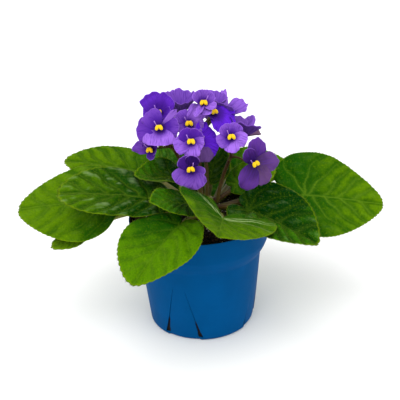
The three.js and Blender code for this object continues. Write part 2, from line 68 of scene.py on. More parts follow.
# Leaves: where the stalk meets the blade, the tip, the flat width, how far the heart's lobes reach
# back, how far the widest part lies towards the joint, the roll, arch, droop and fold in degrees,
# the margins' downward curl, the stalk's way out of the crown, its height there and its sag, the
# finish, the quilting, how plainly the veins show, how much painted light brightens the colour,
# painted shade where it is below zero, the down of hairs and the stalk's blush of red.
LEAF_FIELDS = ("joint", "tip", "width", "lobe", "taper", "roll", "arch", "droop", "fold", "curl",
               "turn", "height", "sag", "finish", "quilt", "veined", "sun", "down", "blush")
LEAVES = {
    "leaf_far_left": ((-69, -12, 109), (-140, -4, 102), 70, 11, 0.24, -33, 4, 3, 3, 0.07,
                      184, 93, 3, "lime", 0.7, 0.26, 0, 0.5, 0.3),
    "leaf_left": ((-37, -22, 113.5), (-102, -31, 123.5), 53.5, 20, -0.02, -22, 6, 10, 11, 0.06,
                  212, 98, 2, "silver", 1.1, 0.25, -0.4, 1.3, 0.5),
    "leaf_back_left": ((-48, 42, 111.5), (-110.5, 49, 122), 55, 13.5, 0.15, -19, 6, 6, 7, 0.06,
                       150, 95, 2, "lime", 0.9, 0.25, 0.1, 0.6, 0.4),
    "leaf_low_left": ((-82, -22, 91), (-112, -29, 79), 24, 3, 0.1, -20, 4, 4, 6, 0.06,
                      196, 89, 8, "lime", 0.6, 0.3, -0.1, 1.2, 0.1),
    "leaf_inner_left": ((-16, -8, 124), (-47, -14, 130), 34, 5, 0.1, -16, -10, -16, 16, -0.2,
                        200, 101, -2, "deep", 0.7, 0.2, -0.35, 1.0, 0.6),
    "leaf_inner_front": ((-7, -34, 112), (-34, -49, 121), 37, 6, 0.1, -16, 6, 8, 8, 0.06,
                         248, 97, 2, "deep", 0.6, 0.15, -0.35, 0.7, 0.2),
    "leaf_front": ((17, -52, 108), (11, -94, 112), 76, 14, 0.2, -24, 2, 6, 20, 0.05,
                   282, 94, 2, "lime", 0.7, 0.3, -0.1, 1.0, 0.4),
    "leaf_front_left": ((-14, -52, 104), (-45, -98, 82.5), 60, 10.2, 0.01, -3, 12, 10, 14.5, 0.06,
                        258, 91, 4, "fresh", 0.6, 0.16, 0.1, 0.4, 0.4),
    "leaf_right": ((36, -29, 104), (83, -64, 89), 60, 13, 0.1, 18, 8, 8, 28, 0.1,
                   318, 95, 3, "deep", 1.0, 0.14, -0.55, 1.1, 0.7),
    "leaf_far_right": ((81.5, 3.5, 100.5), (146.5, 2, 89), 77, 27, 0.24, 38, 6, 3, 9, 0.04,
                       354, 93, 6, "lime", 0.85, 0.3, -0.2, 0.3, 0.6),
    "leaf_back_right": ((38, 34, 111), (76, 54, 113), 46, 8, 0.15, 24, 8, 8, 8, 0.06,
                        35, 96, 2, "fresh", 0.8, 0.25, 0, 0.8, 0.5),
    "leaf_inner_back": ((10, 10, 114), (18, 26, 140), 34, 5, 0.1, 0, -6, -8, 10, -0.1,
                        75, 101, -2, "deep", 0.7, 0.2, -0.9, 1.0, 0.6),
    "leaf_inner_right": ((29, 0, 112), (62, 8, 122), 34, 6, 0.15, 24, 4, 8, 8, 0.06,
                         350, 100, 0, "lime", 0.7, 0.3, -0.2, 1.0, 0.8),
    "leaf_rear_left": ((-26, 50, 109), (-56, 92, 111), 54, 17, 0.15, -8, 10, 12, 8, 0.06,
                       122, 92, 3, "deep", 1.0, 0.3, -0.1, 0.8, 0.5),
    "leaf_rear": ((2, 50, 95), (4, 99, 95), 64, 20, 0.1, 4, 12, 12, 6, 0.06,
                  98, 96, 3, "fresh", 1.0, 0.3, -0.2, 0.8, 0.5),
    "leaf_rear_right": ((30, 52, 108), (56, 98, 100), 50, 9, 0.15, 8, 10, 12, 8, 0.06,
                        60, 91, 3, "lime", 1.0, 0.3, 0, 0.8, 0.5),
}

# Side veins: where they leave the midrib as a share of its length, how they lean and how they bend.
SIDE_VEINS = ((0, -0.7, 0.25), (0, 0.1, 0.35), (0.08, 0.6, 0.38), (0.25, 0.75, 0.36),
              (0.44, 0.9, 0.32), (0.64, 1.1, 0.28))
# Bold double veins: the half of the blade, how far forward they lean and how plainly they show.
BOLD_VEINS = {"leaf_front": ((1, -0.3, 1.2), (-1, 0.12, 0.9), (-1, 0.45, 0.6))}
# How much lighter the right half of the blade is painted than the left, as seen from the joint: painted light
# on the half that faces the light.
LIT_HALVES = {"leaf_front_left": -0.35, "leaf_front": -0.2, "leaf_right": 0.5,
              "leaf_far_right": -0.1}
# How much painted silky sheen a leaf's finish has, and how strong the red, green and blue are in its parts
# lit by the painted light.
LEAF_FINISHES = {"lime": (0.03, (1, 1, 1)), "fresh": (0, (0.92, 1.06, 1)),
                 "silver": (0.5, (0.95, 1, 1)), "deep": (0.16, (0.5, 0.92, 1))}
# Hairs of a blade: how many on each face for a square millimetre, and how many along the margin for
# a millimetre of the blade's width.
DOWN = {"above": 1.15, "below": 0.35, "margin": 9}

# Flowers: the eye in the middle of the face, the way the face looks, a lobe's usual length, its
# scale for the lowest lobe and then on anticlockwise as seen from the front, the forward bend, the
# spin in degrees, the stalk that carries the flower, how wide and how pointed the lobes are, how
# vivid the colour is, how dusky it is, which partly stands for painted shade, and how much painted
# shade darkens each lobe, painted light where it is below zero.
FLOWER_FIELDS = ("eye", "faces", "size", "lobes", "cup", "spin", "stalk",
                 "broad", "point", "vivid", "dusk", "tones")
FLOWERS = (
    ((-25, -24, 167), (-0.15, -0.85, 0.45), 15, (0.85, 0.92, 0.95, 0.98, 1.15), 0, 4, "left",
     1.05, 0, 0, 0, (0.1, 0.8, -0.1, 0.8, 0.9)),
    ((-26, -5, 173), (-0.2, -0.7, 0.6), 11.5, (0.6, 0.85, 1.28, 1.32, 0.95), 0.35, 0, "left",
     1.25, 0, 0.3, 0, (1, 1, 1, 1, 1)),
    ((-10, 6, 171), (0.05, -0.2, 1), 11, (1, 1, 1.05, 1.1, 1), 1.1, 10, "left",
     1.25, 0, 0, 0, (0.4, 0.5, 0.5, 0.5, 0.4)),
    ((7, -14, 181), (0.05, -0.85, 0.5), 9.5, (1.1, 0.95, 0.95, 0.95, 1.2), 0.5, -4, "centre",
     1.2, 0, 0, 0, (-0.4, 0, 0.45, 0.45, 0.1)),
    ((15, 4, 173), (0.1, -0.15, 1), 9.5, (1, 1, 1.1, 1, 1), 0.95, 0, "centre",
     1.2, 0, 0, 0, (0.5, 0.5, 0.5, 0.5, 0.5)),
    ((24.5, 4, 169), (0.25, -0.2, 0.95), 13, (0.8, 1.1, 1.15, 1.25, 0.7), 0.55, -70, "right",
     1.1, 0, 0, 0, (0.6, 0.4, 0.3, 0.1, 0.5)),
    ((-4, -16, 167), (0, -0.9, 0.35), 10, (0.9, 1.05, 1.52, 1.15, 1), 0.1, 0, "centre",
     1.05, 0, 0, 0, (0.5, 0.1, 0.15, 0.7, 0.5)),
    ((-3, -34, 159), (-0.05, -0.9, 0.4), 10.5, (1.1, 0.88, 0.9, 0.98, 1.25), 0.1, 0, "front",
     1.1, 0, 0, 0, (0.1, 0.3, 1, 1, 0.35)),
    ((-33, -16, 148.6), (-0.5, -0.8, 0.15), 10, (0.72, 0.68, 0.75, 0.85, 1.35), 0.2, 8, "left",
     1.05, 0.3, 0, 0.3, (0.9, 0.8, 1, 1, 0.7)),
    ((-4, -42, 141.5), (-0.1, -0.95, 0.2), 12.5, (1.15, 0.8, 0.8, 0.85, 1.15), 0.2, 10, "front",
     1.1, 0, 0, 0.35, (0.4, 0.5, 1.7, 1.25, 0.4)),
    ((25, -32, 160.5), (0.1, -0.9, 0.4), 10.8, (1.05, 1.1, 0.98, 0.95, 1), 0.1, 0, "right",
     1, 0, 0, 0, (0, 0.05, 0.6, 0.6, 0.5)),
    ((14, -11, 173), (0.3, -0.6, 0.7), 12, (1.3, 1.5, 0.8, 0.4, 0.45), 0, 0, "centre",
     1.2, 0, 1, 0, (0.9, 0.9, 0.9, 0.9, 0.9)),
    ((3.3, -20, 153.5), (0.2, -0.9, 0.3), 13, (1.1, 1.12, 1.05, 1.2, 0.6), 0.1, 0, "front",
     1.1, 0, 1, 0, (0, -0.6, -0.8, -0.6, 0)),
    ((35, -3, 154), (0.3, -0.15, 0.92), 12, (1.15, 1.2, 0.95, 1.1, 1.2), 0.85, 0, "right",
     1.2, 0, 0, 0.1, (0.9, 0.3, 0.2, 0.9, 1)),
    ((41, -38, 142), (0.3, -0.85, 0.25), 18, (0.92, 1, 1.03, 0.7, 1.03), 0, 20, "right",
     0.85, 0.25, 0.1, 0.8, (0.7, 0.5, 0.5, 0.7, 0.7)),
    ((-20, 26, 168), (-0.35, 0.75, 0.5), 13, (1, 1, 1.1, 0.9, 1), 0.1, 0, "rear",
     1.1, 0, 0, 0, (0.1, 0.3, 0.6, 0.6, 0.3)),
    ((14, 30, 166), (0.15, 0.85, 0.45), 13, (1.1, 1, 0.9, 1, 1), 0, 0, "rear",
     1.1, 0, 0, 0, (0.1, 0.3, 0.6, 0.6, 0.3)),
)

# Lobes that differ from their neighbours, by flower and place: degrees of shift about the eye and
# of fold about their own middle, a forward lift, how wide and how long they are against the
# others, and whether their back is in front.
ODD_LOBE_FIELDS = ("shift", "fold", "lift", "wide", "long", "reverse")
ODD_LOBES = {
    (1, 0): (-4, 0, 0.14, 1.75, 1, 0), (1, 1): (16, 0, 0, 1.1, 1, 0),
    (1, 2): (-14, 50, 0.4, 0.36, 1.25, 0), (1, 4): (-20, 0, -0.05, 1.15, 1, 0),
    (4, 1): (-10, -30, 0.2, 0.9, 1, 0), (4, 4): (46, 56, 0.1, 0.8, 1.2, 0),
    (6, 0): (0, 0, 0.45, 1, 1, 0), (6, 3): (0, 35, 0.1, 0.6, 1, 0),
    (9, 1): (0, -40, 0.25, 0.8, 1, 0), (9, 4): (-34, 0, 0, 0.85, 1, 0),
    (10, 0): (6, 0, 0, 1.2, 1, 0), (10, 1): (-30, 0, 0, 1.1, 1, 0),
    (10, 2): (13, 0, 0.1, 0.85, 1, 0), (10, 3): (-4, 0, 0.1, 0.85, 1, 0),
    (10, 4): (20, 0, 0, 1.15, 1, 0),
    (12, 0): (18, 0, 0, 1, 1, 0), (12, 1): (-6, 0, 0, 0.95, 1, 0),
    (13, 0): (-14, 0, 0.15, 1.4, 1, 1), (13, 1): (-8, 0, 0, 1, 1, 0),
    (13, 2): (-14, 0, 0, 1, 1, 0), (13, 3): (-49, 0, 0.05, 0.62, 1, 0),
    (14, 0): (34, 0, -0.7, 0.7, 1, 1), (14, 1): (22, 0, -0.3, 0.55, 1, 0),
    (14, 4): (10, 0, 0.1, 1.25, 1, 0),
    (15, 0): (6, 0, 0, 1, 1, 0), (15, 3): (-24, -20, 0.2, 0.9, 1, 0),
    (15, 4): (20, 0, 0, 1.1, 1, 0),
}
PLAIN_LOBE = (0, 0, 0, 1, 1, 0)
# How far a lobe has browned, by flower and place.
BROWNED = {(13, 0): 0.3, (14, 0): 0.9, (15, 0): 0.5, (15, 1): 0.3, (15, 4): 0.1}
# Flower stalks: the foot on the crown, the fork, and the point that bends the stem between them.
STALKS = {
    "left": ((-3, 1, 98), (-17, -6, 146), (-6, 0, 126)),
    "front": ((3, -5.6, 101), (-2, -20, 140), (2, -10, 122)),
    "centre": ((7, 4, 103.4), (5, 0, 152), (9, 2, 128)),
    "right": ((15, -0.5, 99), (25, -12, 138), (18, -4, 120)),
    "rear": ((4, 10, 100.5), (0, 16, 144), (4, 14, 124)),
}
STEM = {"foot_radius": 1.6, "fork_radius": 1.25, "branch_radius": 0.95, "branch_end": 0.75}
STEM_STEPS, BRANCH_STEPS = 40, 26
PETAL_THROAT = 2.4
CALYX_LENGTH = 3.6
CALYX_SWELL = (0.85, 1.15, 1.4, 1.55, 1.62, 1.62, 1.55, 1.4, 1.2)
SAC = {"half_width": 1.42, "half_length": 2.15, "half_depth": 1.25, "apart": 1.32, "tilt": 12}

# Crumbs of the mix: how common each kind is, and its length, width and height against the usual size.
CRUMBS = 2600
CRUMB_SHARES = (0.66, 0.31, 0.03)
CRUMB_SHAPES = ((1, 0.8, 0.6), (1.7, 0.9, 0.4), (0.8, 0.75, 0.7))

# A slit's width at each height, widest at the foot, and how far its tongue is pressed in there.
SLIT_WIDTHS = ((TAB["height"], 0.25), (30, 0.45), (19, 0.7), (16, 2.2), (8, 3), (7, 4.2),
               (TAB["land"], 4.8))
TONGUE_LEAN = 1.1

# The photograph's camera, fitted to the pot, and the studio's two broad lights with their
# strength, spread in degrees and the way they come from. Places of the stage are in metres.
CAMERA = {"place": (0, -0.447, 0.286), "pitch": 22.5, "yaw": 0.2, "roll": -2.4,
          "focal_pixels": 620, "picture_pixels": 400, "sensor": 36}
LAMPS = {"key_light": (1.6, 55, (-0.3, -0.55, 1)), "fill_light": (0.35, 60, (0.8, -0.6, 0.5))}
FLOOR = {"half_size": 9, "below": 0.0002}


def paint(red, green, blue):
    """A colour from its 0 to 255 screen values."""
    def linear(value):
        v = value / 255
        return v / 12.92 if v <= 0.04045 else ((v + 0.055) / 1.055) ** 2.4
    return (linear(red), linear(green), linear(blue))


def length_setting(name, description, default):
    return bpy.props.FloatProperty(name=name, description=description, default=default * MM, min=0.0,
                                   precision=5, unit="LENGTH", subtype="DISTANCE")


def colour_setting(name, description, default):
    return bpy.props.FloatVectorProperty(name=name, description=description, default=paint(*default),
                                         size=3, min=0.0, max=1.0, subtype="COLOR")


class VioletSizes(bpy.types.PropertyGroup):
    blade: length_setting("Leaf blade", "Thickness of a leaf in its middle", 1.2)
    quilt: length_setting("Quilting", "How far a leaf bulges up between its veins", 1.9)
    cells: length_setting("Small cells", "Width of the small cells between the fine veins", 6.5)
    scallop: length_setting("Scallops", "Depth of the scallops along a leaf's margin", 0.5)
    hair: length_setting("Leaf hair", "Length of a leaf's hairs", 1.4)
    petal: length_setting("Petal", "Thickness of a petal", 0.5)
    ruffle: length_setting("Ruffle", "Height of the waves along a petal's margin", 0.9)
    crumb: length_setting("Crumbs", "Usual size of a crumb of potting mix", 1.5)


class VioletColours(bpy.types.PropertyGroup):
    pot: colour_setting("Pot", "Plastic of the nursery pot", (0, 72, 126))
    mix: colour_setting("Peat", "Moist peat in the pot", (30, 23, 18))
    bark: colour_setting("Bark", "Bark crumbs in the mix", (62, 42, 28))
    perlite: colour_setting("Perlite", "White crumbs in the mix", (180, 176, 164))
    lime: colour_setting("Lime leaves", "Blade of the yellowish leaves", (70, 117, 0))
    fresh: colour_setting("Fresh leaves", "Blade of the bright green leaves", (48, 106, 0))
    silver: colour_setting("Silvery leaves", "Blade of the greyish leaves", (46, 96, 2))
    deep: colour_setting("Dark leaves", "Blade of the darkest leaves", (4, 78, 3))
    vein: colour_setting("Veins", "Pale veins of the leaves", (122, 156, 36))
    margin: colour_setting("Margins", "Yellowish rim of the leaves", (122, 150, 4))
    # Painted sheen: the light that the silky hairs of the darker leaves catch, painted into their colour.
    painted_sheen: colour_setting("Bloom", "Silky sheen on the darker leaves", (128, 152, 104))
    underside: colour_setting("Undersides", "Pale underside of the leaves", (112, 140, 62))
    stalk_green: colour_setting("Green stalks", "Leaf stalks out in the light", (128, 138, 40))
    stalk_red: colour_setting("Red stalks", "Flower stalks and shaded leaf stalks", (58, 12, 10))
    streak: colour_setting("Streaks", "Whitish down along a leaf's bold veins", (164, 186, 124))
    hair: colour_setting("Hairs", "Down on leaves and stalks", (150, 176, 64))
    petal_light: colour_setting("Petal rims", "Outer part of a petal", (151, 101, 212))
    # The outer part of a lobe darkened by painted shade.
    petal_mid: colour_setting("Petal flanks", "Outer part of a darker lobe", (82, 33, 150))
    petal_dark: colour_setting("Petal hearts", "Inner part of a petal", (64, 20, 138))
    petal_vivid: colour_setting("Deep petals", "Petals of the freshest flowers", (98, 32, 210))
    # Dusky colour of the oldest flowers, also used as painted shade on shaded flowers and turned-over lobes.
    petal_dusk: colour_setting("Dusky petals", "Petals of the oldest flowers", (72, 32, 112))
    petal_brown: colour_setting("Browned petals", "Lobes that start to wither", (98, 72, 88))
    petal_back: colour_setting("Petal backs", "Reverse of a petal", (128, 88, 180))
    anther: colour_setting("Anthers", "Pollen sacs", (244, 200, 12))
    floor: colour_setting("Floor", "Plain pale floor", (248, 248, 248))


# ---------------------------------------------------------------- finishes


class Value:
    """A number that varies over a surface. Sums on it add Math nodes to its finish."""

    def __init__(self, finish, socket):
        self.finish = finish
        self.socket = socket

    def _sum(self, operation, first, second):
        return self.finish.node("ShaderNodeMath", {"operation": operation}, {0: first, 1: second})

    def __add__(self, other):
        return self._sum("ADD", self, other)

    def __radd__(self, other):
        return self._sum("ADD", other, self)

    def __sub__(self, other):
        return self._sum("SUBTRACT", self, other)

    def __rsub__(self, other):
        return self._sum("SUBTRACT", other, self)

    def __mul__(self, other):
        return self._sum("MULTIPLY", self, other)

    def __rmul__(self, other):
        return self._sum("MULTIPLY", other, self)


class Finish:
    """One material and the few ways in which its nodes are made."""

    def __init__(self, name, roughness=0.5, **uniform):
        self.material = bpy.data.materials.new(name)
        self.material.use_nodes = True
        self.tree = self.material.node_tree
        self.shader = self.tree.nodes["Principled BSDF"]
        self.shader.inputs["Roughness"].default_value = roughness
        for socket, value in uniform.items():
            self.shader.inputs[socket.replace("_", " ")].default_value = value

    def feed(self, socket, value):
        if isinstance(value, Value):
            self.tree.links.new(value.socket, socket)
        elif hasattr(value, "__len__") and len(value) == 3 and socket.type == "RGBA":
            socket.default_value = (*value, 1)
        else:
            socket.default_value = value

    def node(self, kind, settings=None, sockets=None, output=0):
        made = self.tree.nodes.new(kind)
        for name, value in (settings or {}).items():
            setattr(made, name, value)
        for name, value in (sockets or {}).items():
            self.feed(made.inputs[name], value)
        return Value(self, made.outputs[output])

    def field(self, name, output="Fac"):
        return self.node("ShaderNodeAttribute", {"attribute_name": name}, None, output)

    def blend(self, amount, first, second):
        return self.node("ShaderNodeMix", {"data_type": "RGBA", "clamp_factor": True},
                         {0: amount, 6: first, 7: second}, 2)

    def mottle(self, value, low, high, colour, darkest, lightest):
        """A colour that goes from a darker to a lighter shade of itself as a value rises."""
        return self.blend(self.steps(value, low, high), shade(colour, darkest), shade(colour, lightest))

    def steps(self, value, low, high, to_low=0.0, to_high=1.0):
        return self.node("ShaderNodeMapRange", {"interpolation_type": "SMOOTHSTEP"},
                         {"Value": value, "From Min": low, "From Max": high,
                          "To Min": to_low, "To Max": to_high})

    def noise(self, scale, detail=3.0, vector=None, roughness=0.55):
        sockets = {"Scale": scale, "Detail": detail, "Roughness": roughness}
        sockets["Vector"] = vector or self.node("ShaderNodeTexCoord", output="Object")
        return self.node("ShaderNodeTexNoise", None, sockets)

    def stretch(self, vector, scale):
        return self.node("ShaderNodeVectorMath", {"operation": "MULTIPLY"}, {0: vector, 1: scale})

    def bump(self, height, distance, strength=1.0):
        normal = self.node("ShaderNodeBump", None,
                           {"Height": height, "Distance": distance, "Strength": strength})
        self.feed(self.shader.inputs["Normal"], normal)

    def colour(self, value):
        self.feed(self.shader.inputs["Base Color"], value)

    def rough(self, value):
        self.feed(self.shader.inputs["Roughness"], value)


def shade(colour, share):
    """The same colour, darker or lighter."""
    return tuple(min(1.0, part * share) for part in colour)


def plastic_finish(colours):
    finish = Finish("blue_moulded_plastic", 0.45, Specular_IOR_Level=0.015)
    cloud = finish.noise(35.0, 4.0)
    fine = finish.noise(900.0, 2.0)
    clean = finish.mottle(cloud, 0.3, 0.75, colours.pot, 0.93, 1.08)
    soil = finish.steps(finish.field("soiled") + 0.6 * (finish.noise(160.0, 5.0) - 0.5), 0.35, 0.75)
    finish.colour(finish.blend(soil, clean, shade(colours.mix, 0.9)))
    finish.rough(0.36 + 0.2 * finish.noise(60.0, 5.0))
    finish.bump(fine * 0.6 + cloud * 0.4, 0.0001, 0.35)
    return finish.material


def peat_finish(colours):
    finish = Finish("moist_potting_mix", 0.95, Specular_IOR_Level=0.2)
    kind = finish.field("kind")
    fine = finish.noise(700.0, 5.0)
    peat = finish.mottle(fine, 0.3, 0.7, colours.mix, 0.35, 1.3)
    bark = finish.mottle(finish.noise(300.0, 6.0), 0.35, 0.7, colours.bark, 0.5, 1.3)
    stone = finish.mottle(fine, 0.3, 0.7, colours.perlite, 0.75, 1.0)
    woody = finish.blend(finish.steps(kind, 0.4, 0.6), peat, bark)
    finish.colour(finish.blend(finish.steps(kind, 1.4, 1.6), woody, stone))
    finish.bump(fine, 0.0004, 0.8)
    return finish.material


def leaf_finish(colours, name, blade, painted_sheen, lights):
    finish = Finish(name, 0.6, Specular_IOR_Level=0.025)
    at = finish.field("place", "Vector")
    blotch = finish.noise(0.09, 4.0, at)
    fine = finish.noise(0.8, 4.0, at)
    raised = finish.field("raised")
    # The blade's colours in painted light and in painted shade; the shaded one also marks random dark specks
    # below.
    light = tuple(0.3 * part + share * sunny * lit
                  for part, sunny, share, lit in zip(blade, colours.lime, (1.1, 0.76, 1.0), lights))
    dark = tuple(part * share for part, share in zip(blade, (0.14, 0.38, 0.5)))
    # Painted light and shade: darker towards the joint, lighter towards the tip and on the lit half of some
    # blades.
    sun = blotch + finish.field("sun") + 0.15 * raised
    base = finish.blend(finish.steps(sun, 0.33, 1.48), dark, light)
    # Painted shade in the creases beside the veins, where the quilting lies low.
    base = finish.blend(finish.steps(raised + 0.9 * (blotch - 0.5), 0.05, 0.75, 0.75, 0.0), base, dark)
    base = finish.blend(finish.steps(fine, 0.52, 0.8, 0.0, 0.35), base, colours.margin)
    base = finish.blend(finish.steps(fine, 0.22, 0.5, 0.5, 0.0), base, dark)
    # Painted sheen: light streaks where the silky hairs of the darker leaves catch the light.
    patches = finish.noise(0.16, 5.0, finish.stretch(at, (0.4, 1.6, 1.0)))
    silk = finish.steps(0.35 * raised + patches, 0.72, 1.02)
    base = finish.blend(silk * painted_sheen, base, colours.painted_sheen)
    base = finish.blend(finish.field("vein") * (0.7 + 0.6 * fine), base, colours.vein)
    base = finish.blend(finish.field("downy") * (0.5 + fine), base, colours.streak)
    base = finish.blend(finish.steps(finish.field("rim"), 0.2, 1.0, 0.0, 0.5), base, colours.margin)
    below = finish.mottle(fine, 0.3, 0.7, colours.underside, 0.8, 1.1)
    finish.colour(finish.blend(finish.field("below"), base, below))
    finish.rough(0.5 + 0.2 * fine)
    finish.bump(fine, 0.0012, 0.7)
    return finish.material


def stalk_finish(colours, name="hairy_stalk"):
    finish = Finish(name, 0.5, Specular_IOR_Level=0.35)
    streak = finish.noise(900.0, 3.0)
    green = finish.mottle(streak, 0.3, 0.7, colours.stalk_green, 0.7, 1.1)
    brown = finish.mottle(streak, 0.3, 0.7, colours.stalk_red, 0.7, 1.3)
    finish.colour(finish.blend(finish.field("blush"), green, brown))
    finish.bump(streak, 0.0002, 0.4)
    return finish.material


def hair_finish(colours):
    finish = Finish("plant_down", 0.6, Specular_IOR_Level=0.1)
    tint = finish.blend(finish.field("pale"), colours.margin, colours.hair)
    finish.colour(finish.blend(finish.noise(400.0, 1.0), shade(colours.mix, 2.0), tint))
    return finish.material


def petal_finish(colours):
    finish = Finish("violet_petal", 0.6, Specular_IOR_Level=0.08)
    at = finish.field("place", "Vector")
    streak = finish.noise(1.0, 4.0, finish.stretch(at, (24.0, 2.0, 1.0)))
    cloud = finish.noise(2.6, 4.0, at)
    reach, tone = finish.field("reach"), finish.field("tone")
    vivid, dusk = finish.field("vivid"), finish.field("dusk")
    # Each lobe's painted shading pushes its dark heart outwards and darkens its outer part; below zero it is
    # painted light.
    outward = finish.steps(reach + 0.5 * (streak - 0.5) + 0.5 * (cloud - 0.5) - 0.3 * tone, 0.08, 0.66)
    outer = finish.blend(tone, colours.petal_light, colours.petal_mid)
    face = finish.blend(outward, colours.petal_dark, outer)
    deep = finish.blend(outward, shade(colours.petal_vivid, 0.4), colours.petal_vivid)
    # Dusky colour of the oldest flowers, also used as painted shade on some flowers and turned-over lobes.
    dull = finish.blend(outward, shade(colours.petal_dusk, 0.4), colours.petal_dusk)
    face = finish.blend(dusk, finish.blend(vivid, face, deep), dull)
    # Painted shadow on lobes whose painted shading is above 1.
    face = finish.blend(finish.steps(tone, 1.0, 2.0), face, shade(colours.petal_dark, 0.22))
    face = finish.blend(finish.steps(streak, 0.5, 0.66, 0.0, 0.6), face, shade(colours.petal_dark, 0.9))
    face = finish.blend(finish.steps(reach, 0.1, 0.42, 0.9, 0.0), face, shade(colours.petal_dark, 0.3))
    paler = finish.steps(finish.field("rim"), 0.35, 1.0, 0.0, 0.8) * (1 - 0.6 * vivid)
    face = finish.blend(paler, face, shade(colours.petal_light, 1.12))
    back = finish.mottle(streak, 0.35, 0.7, colours.petal_back, 0.66, 1.0)
    # Painted shade on the backs from each lobe's painted shading, then the deep and dusky colours.
    back = finish.blend(tone * 0.6, back, colours.petal_mid)
    back = finish.blend(vivid * 0.8, back, shade(colours.petal_vivid, 0.9))
    back = finish.blend(dusk * 0.8, back, colours.petal_dusk)
    worn = finish.field("brown") * finish.steps(cloud + 0.4 * reach, 0.35, 0.8, 0.5, 1.0)
    both = finish.blend(finish.field("below"), face, back)
    finish.colour(finish.blend(worn, both, colours.petal_brown))
    finish.rough(0.5 + 0.2 * cloud)
    finish.bump(streak * 0.7 + cloud * 0.3, 0.0007, 0.8)
    return finish.material


def anther_finish(colours):
    finish = Finish("pollen_sacs", 0.6, Specular_IOR_Level=0.3)
    grain = finish.noise(1800.0, 3.0)
    yellow = finish.mottle(grain, 0.3, 0.7, colours.anther, 0.78, 1.1)
    finish.colour(finish.blend(finish.field("violet"), yellow, colours.petal_light))
    finish.bump(grain, 0.00015, 0.6)
    return finish.material


def floor_finish(colours):
    finish = Finish("pale_floor", 0.8, Specular_IOR_Level=0.1)
    finish.colour(finish.blend(finish.noise(3.0, 2.0), shade(colours.floor, 0.985), colours.floor))
    return finish.material


# ---------------------------------------------------------------- mesh making


class Shape:
    """Points, faces and per-point fields collected for one piece, in millimetres."""

    def __init__(self):
        self.points, self.corners, self.sizes, self.slots = [], [], [], []
        self.fields = {}
        self.count = 0

    def add(self, points, faces, slot=0, **fields):
        """faces is a list of arrays of point numbers, one row for each face."""
        points = np.asarray(points, float).reshape(-1, 3)
        for block in faces:
            block = np.asarray(block, int)
            self.corners.append((block + self.count).ravel())
            self.sizes.append(np.full(len(block), block.shape[1]))
            self.slots.append(np.full(len(block), slot))
        for name, value in fields.items():
            value = np.asarray(value, float)
            width = 3 if value.ndim == 2 else 1
            whole = np.broadcast_to(value, (len(points), 3) if width == 3 else (len(points),))
            self.fields.setdefault(name, []).append((self.count, whole))
        self.points.append(points)
        self.count += len(points)

    def build(self, name, finishes, node):
        mesh = bpy.data.meshes.new(name)
        corners, sizes = np.concatenate(self.corners), np.concatenate(self.sizes)
        mesh.vertices.add(self.count)
        mesh.vertices.foreach_set("co", (np.concatenate(self.points) * MM).ravel())
        mesh.loops.add(len(corners))
        mesh.loops.foreach_set("vertex_index", corners)
        mesh.polygons.add(len(sizes))
        mesh.polygons.foreach_set("loop_start", np.cumsum(sizes) - sizes)
        mesh.polygons.foreach_set("material_index", np.concatenate(self.slots))
        for field, blocks in self.fields.items():
            wide = blocks[0][1].ndim == 2
            values = np.zeros((self.count, 3) if wide else self.count)
            for start, block in blocks:
                values[start:start + len(block)] = block
            made = mesh.attributes.new(field, "FLOAT_VECTOR" if wide else "FLOAT", "POINT")
            made.data.foreach_set("vector" if wide else "value", values.ravel())
        for material in finishes:
            mesh.materials.append(material)
        mesh.update(calc_edges=True)
        mesh.validate()
        mesh.shade_smooth()
        return place_piece(bpy.data.objects.new(name, mesh), node)


def place_piece(piece, node):
    bpy.context.scene.collection.objects.link(piece)
    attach(piece, "root")
    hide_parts(node)
    return piece


def disc_faces(rings, around):
    """A closed sheet's faces: an upper and a lower skin that share their rim."""
    here = np.arange(around)
    after = (here + 1) % around
    lower = 1 + rings * around
    blocks = []
    for centre, turned in ((0, False), (lower, True)):
        starts = [centre + 1 + k * around for k in range(rings)]
        starts[-1] = 1 + (rings - 1) * around
        fan = np.stack([np.full(around, centre), starts[0] + here, starts[0] + after], 1)
        quads = [np.stack([a + here, b + here, b + after, a + after], 1) for a, b in zip(starts, starts[1:])]
        quads = np.concatenate(quads)
        blocks += [fan[:, ::-1], quads[:, ::-1]] if turned else [fan, quads]
    return blocks


def disc_places(rings, around, crowd=1.0):
    """Reach, turn and side (1 above, -1 below, 0 on the rim) of each point of disc_faces."""
    reach = (np.arange(1, rings + 1) / rings) ** crowd
    turn = 2 * math.pi * np.arange(around) / around
    above = (np.repeat(reach, around), np.tile(turn, rings))
    below = (np.repeat(reach[:-1], around), np.tile(turn, rings - 1))
    side = np.ones(rings * around)
    side[-around:] = 0
    return (np.concatenate([[0], above[0], [0], below[0]]),
            np.concatenate([[0], above[1], [0], below[1]]),
            np.concatenate([[1], side, [-1], -np.ones((rings - 1) * around)]))


def ring_faces(rows, sides):
    """Faces of a round body: quads between its rings of points, and a fan at its first and last ring.

    The two middle points of the fans come after the rings.
    """
    here = np.arange(sides)
    after = (here + 1) % sides
    quads = [np.stack([low + here, low + after, low + sides + after, low + sides + here], 1)
             for low in sides * np.arange(rows - 1)]
    last = sides * (rows - 1)
    first_fan = np.stack([np.full(sides, sides * rows), after, here], 1)
    last_fan = np.stack([np.full(sides, sides * rows + 1), last + here, last + after], 1)
    return [np.concatenate(quads), np.concatenate([first_fan, last_fan])]


def unit(vectors):
    vectors = np.asarray(vectors, float)
    return vectors / np.maximum(np.linalg.norm(vectors, axis=-1, keepdims=True), 1e-9)


def turned(vector, axis, degrees):
    """A vector turned about an axis."""
    return np.array(Matrix.Rotation(math.radians(degrees), 3, Vector(axis)) @ Vector(vector))


def bezier(ends, t):
    """Points and unit tangents along a cubic curve with four control points."""
    a, b, c, d = (np.asarray(end, float) for end in ends)
    t = np.asarray(t, float)[..., None]
    at = a * (1 - t) ** 3 + 3 * b * t * (1 - t) ** 2 + 3 * c * t * t * (1 - t) + d * t ** 3
    way = 3 * (b - a) * (1 - t) ** 2 + 6 * (c - b) * t * (1 - t) + 3 * (d - c) * t * t
    return at, unit(way)


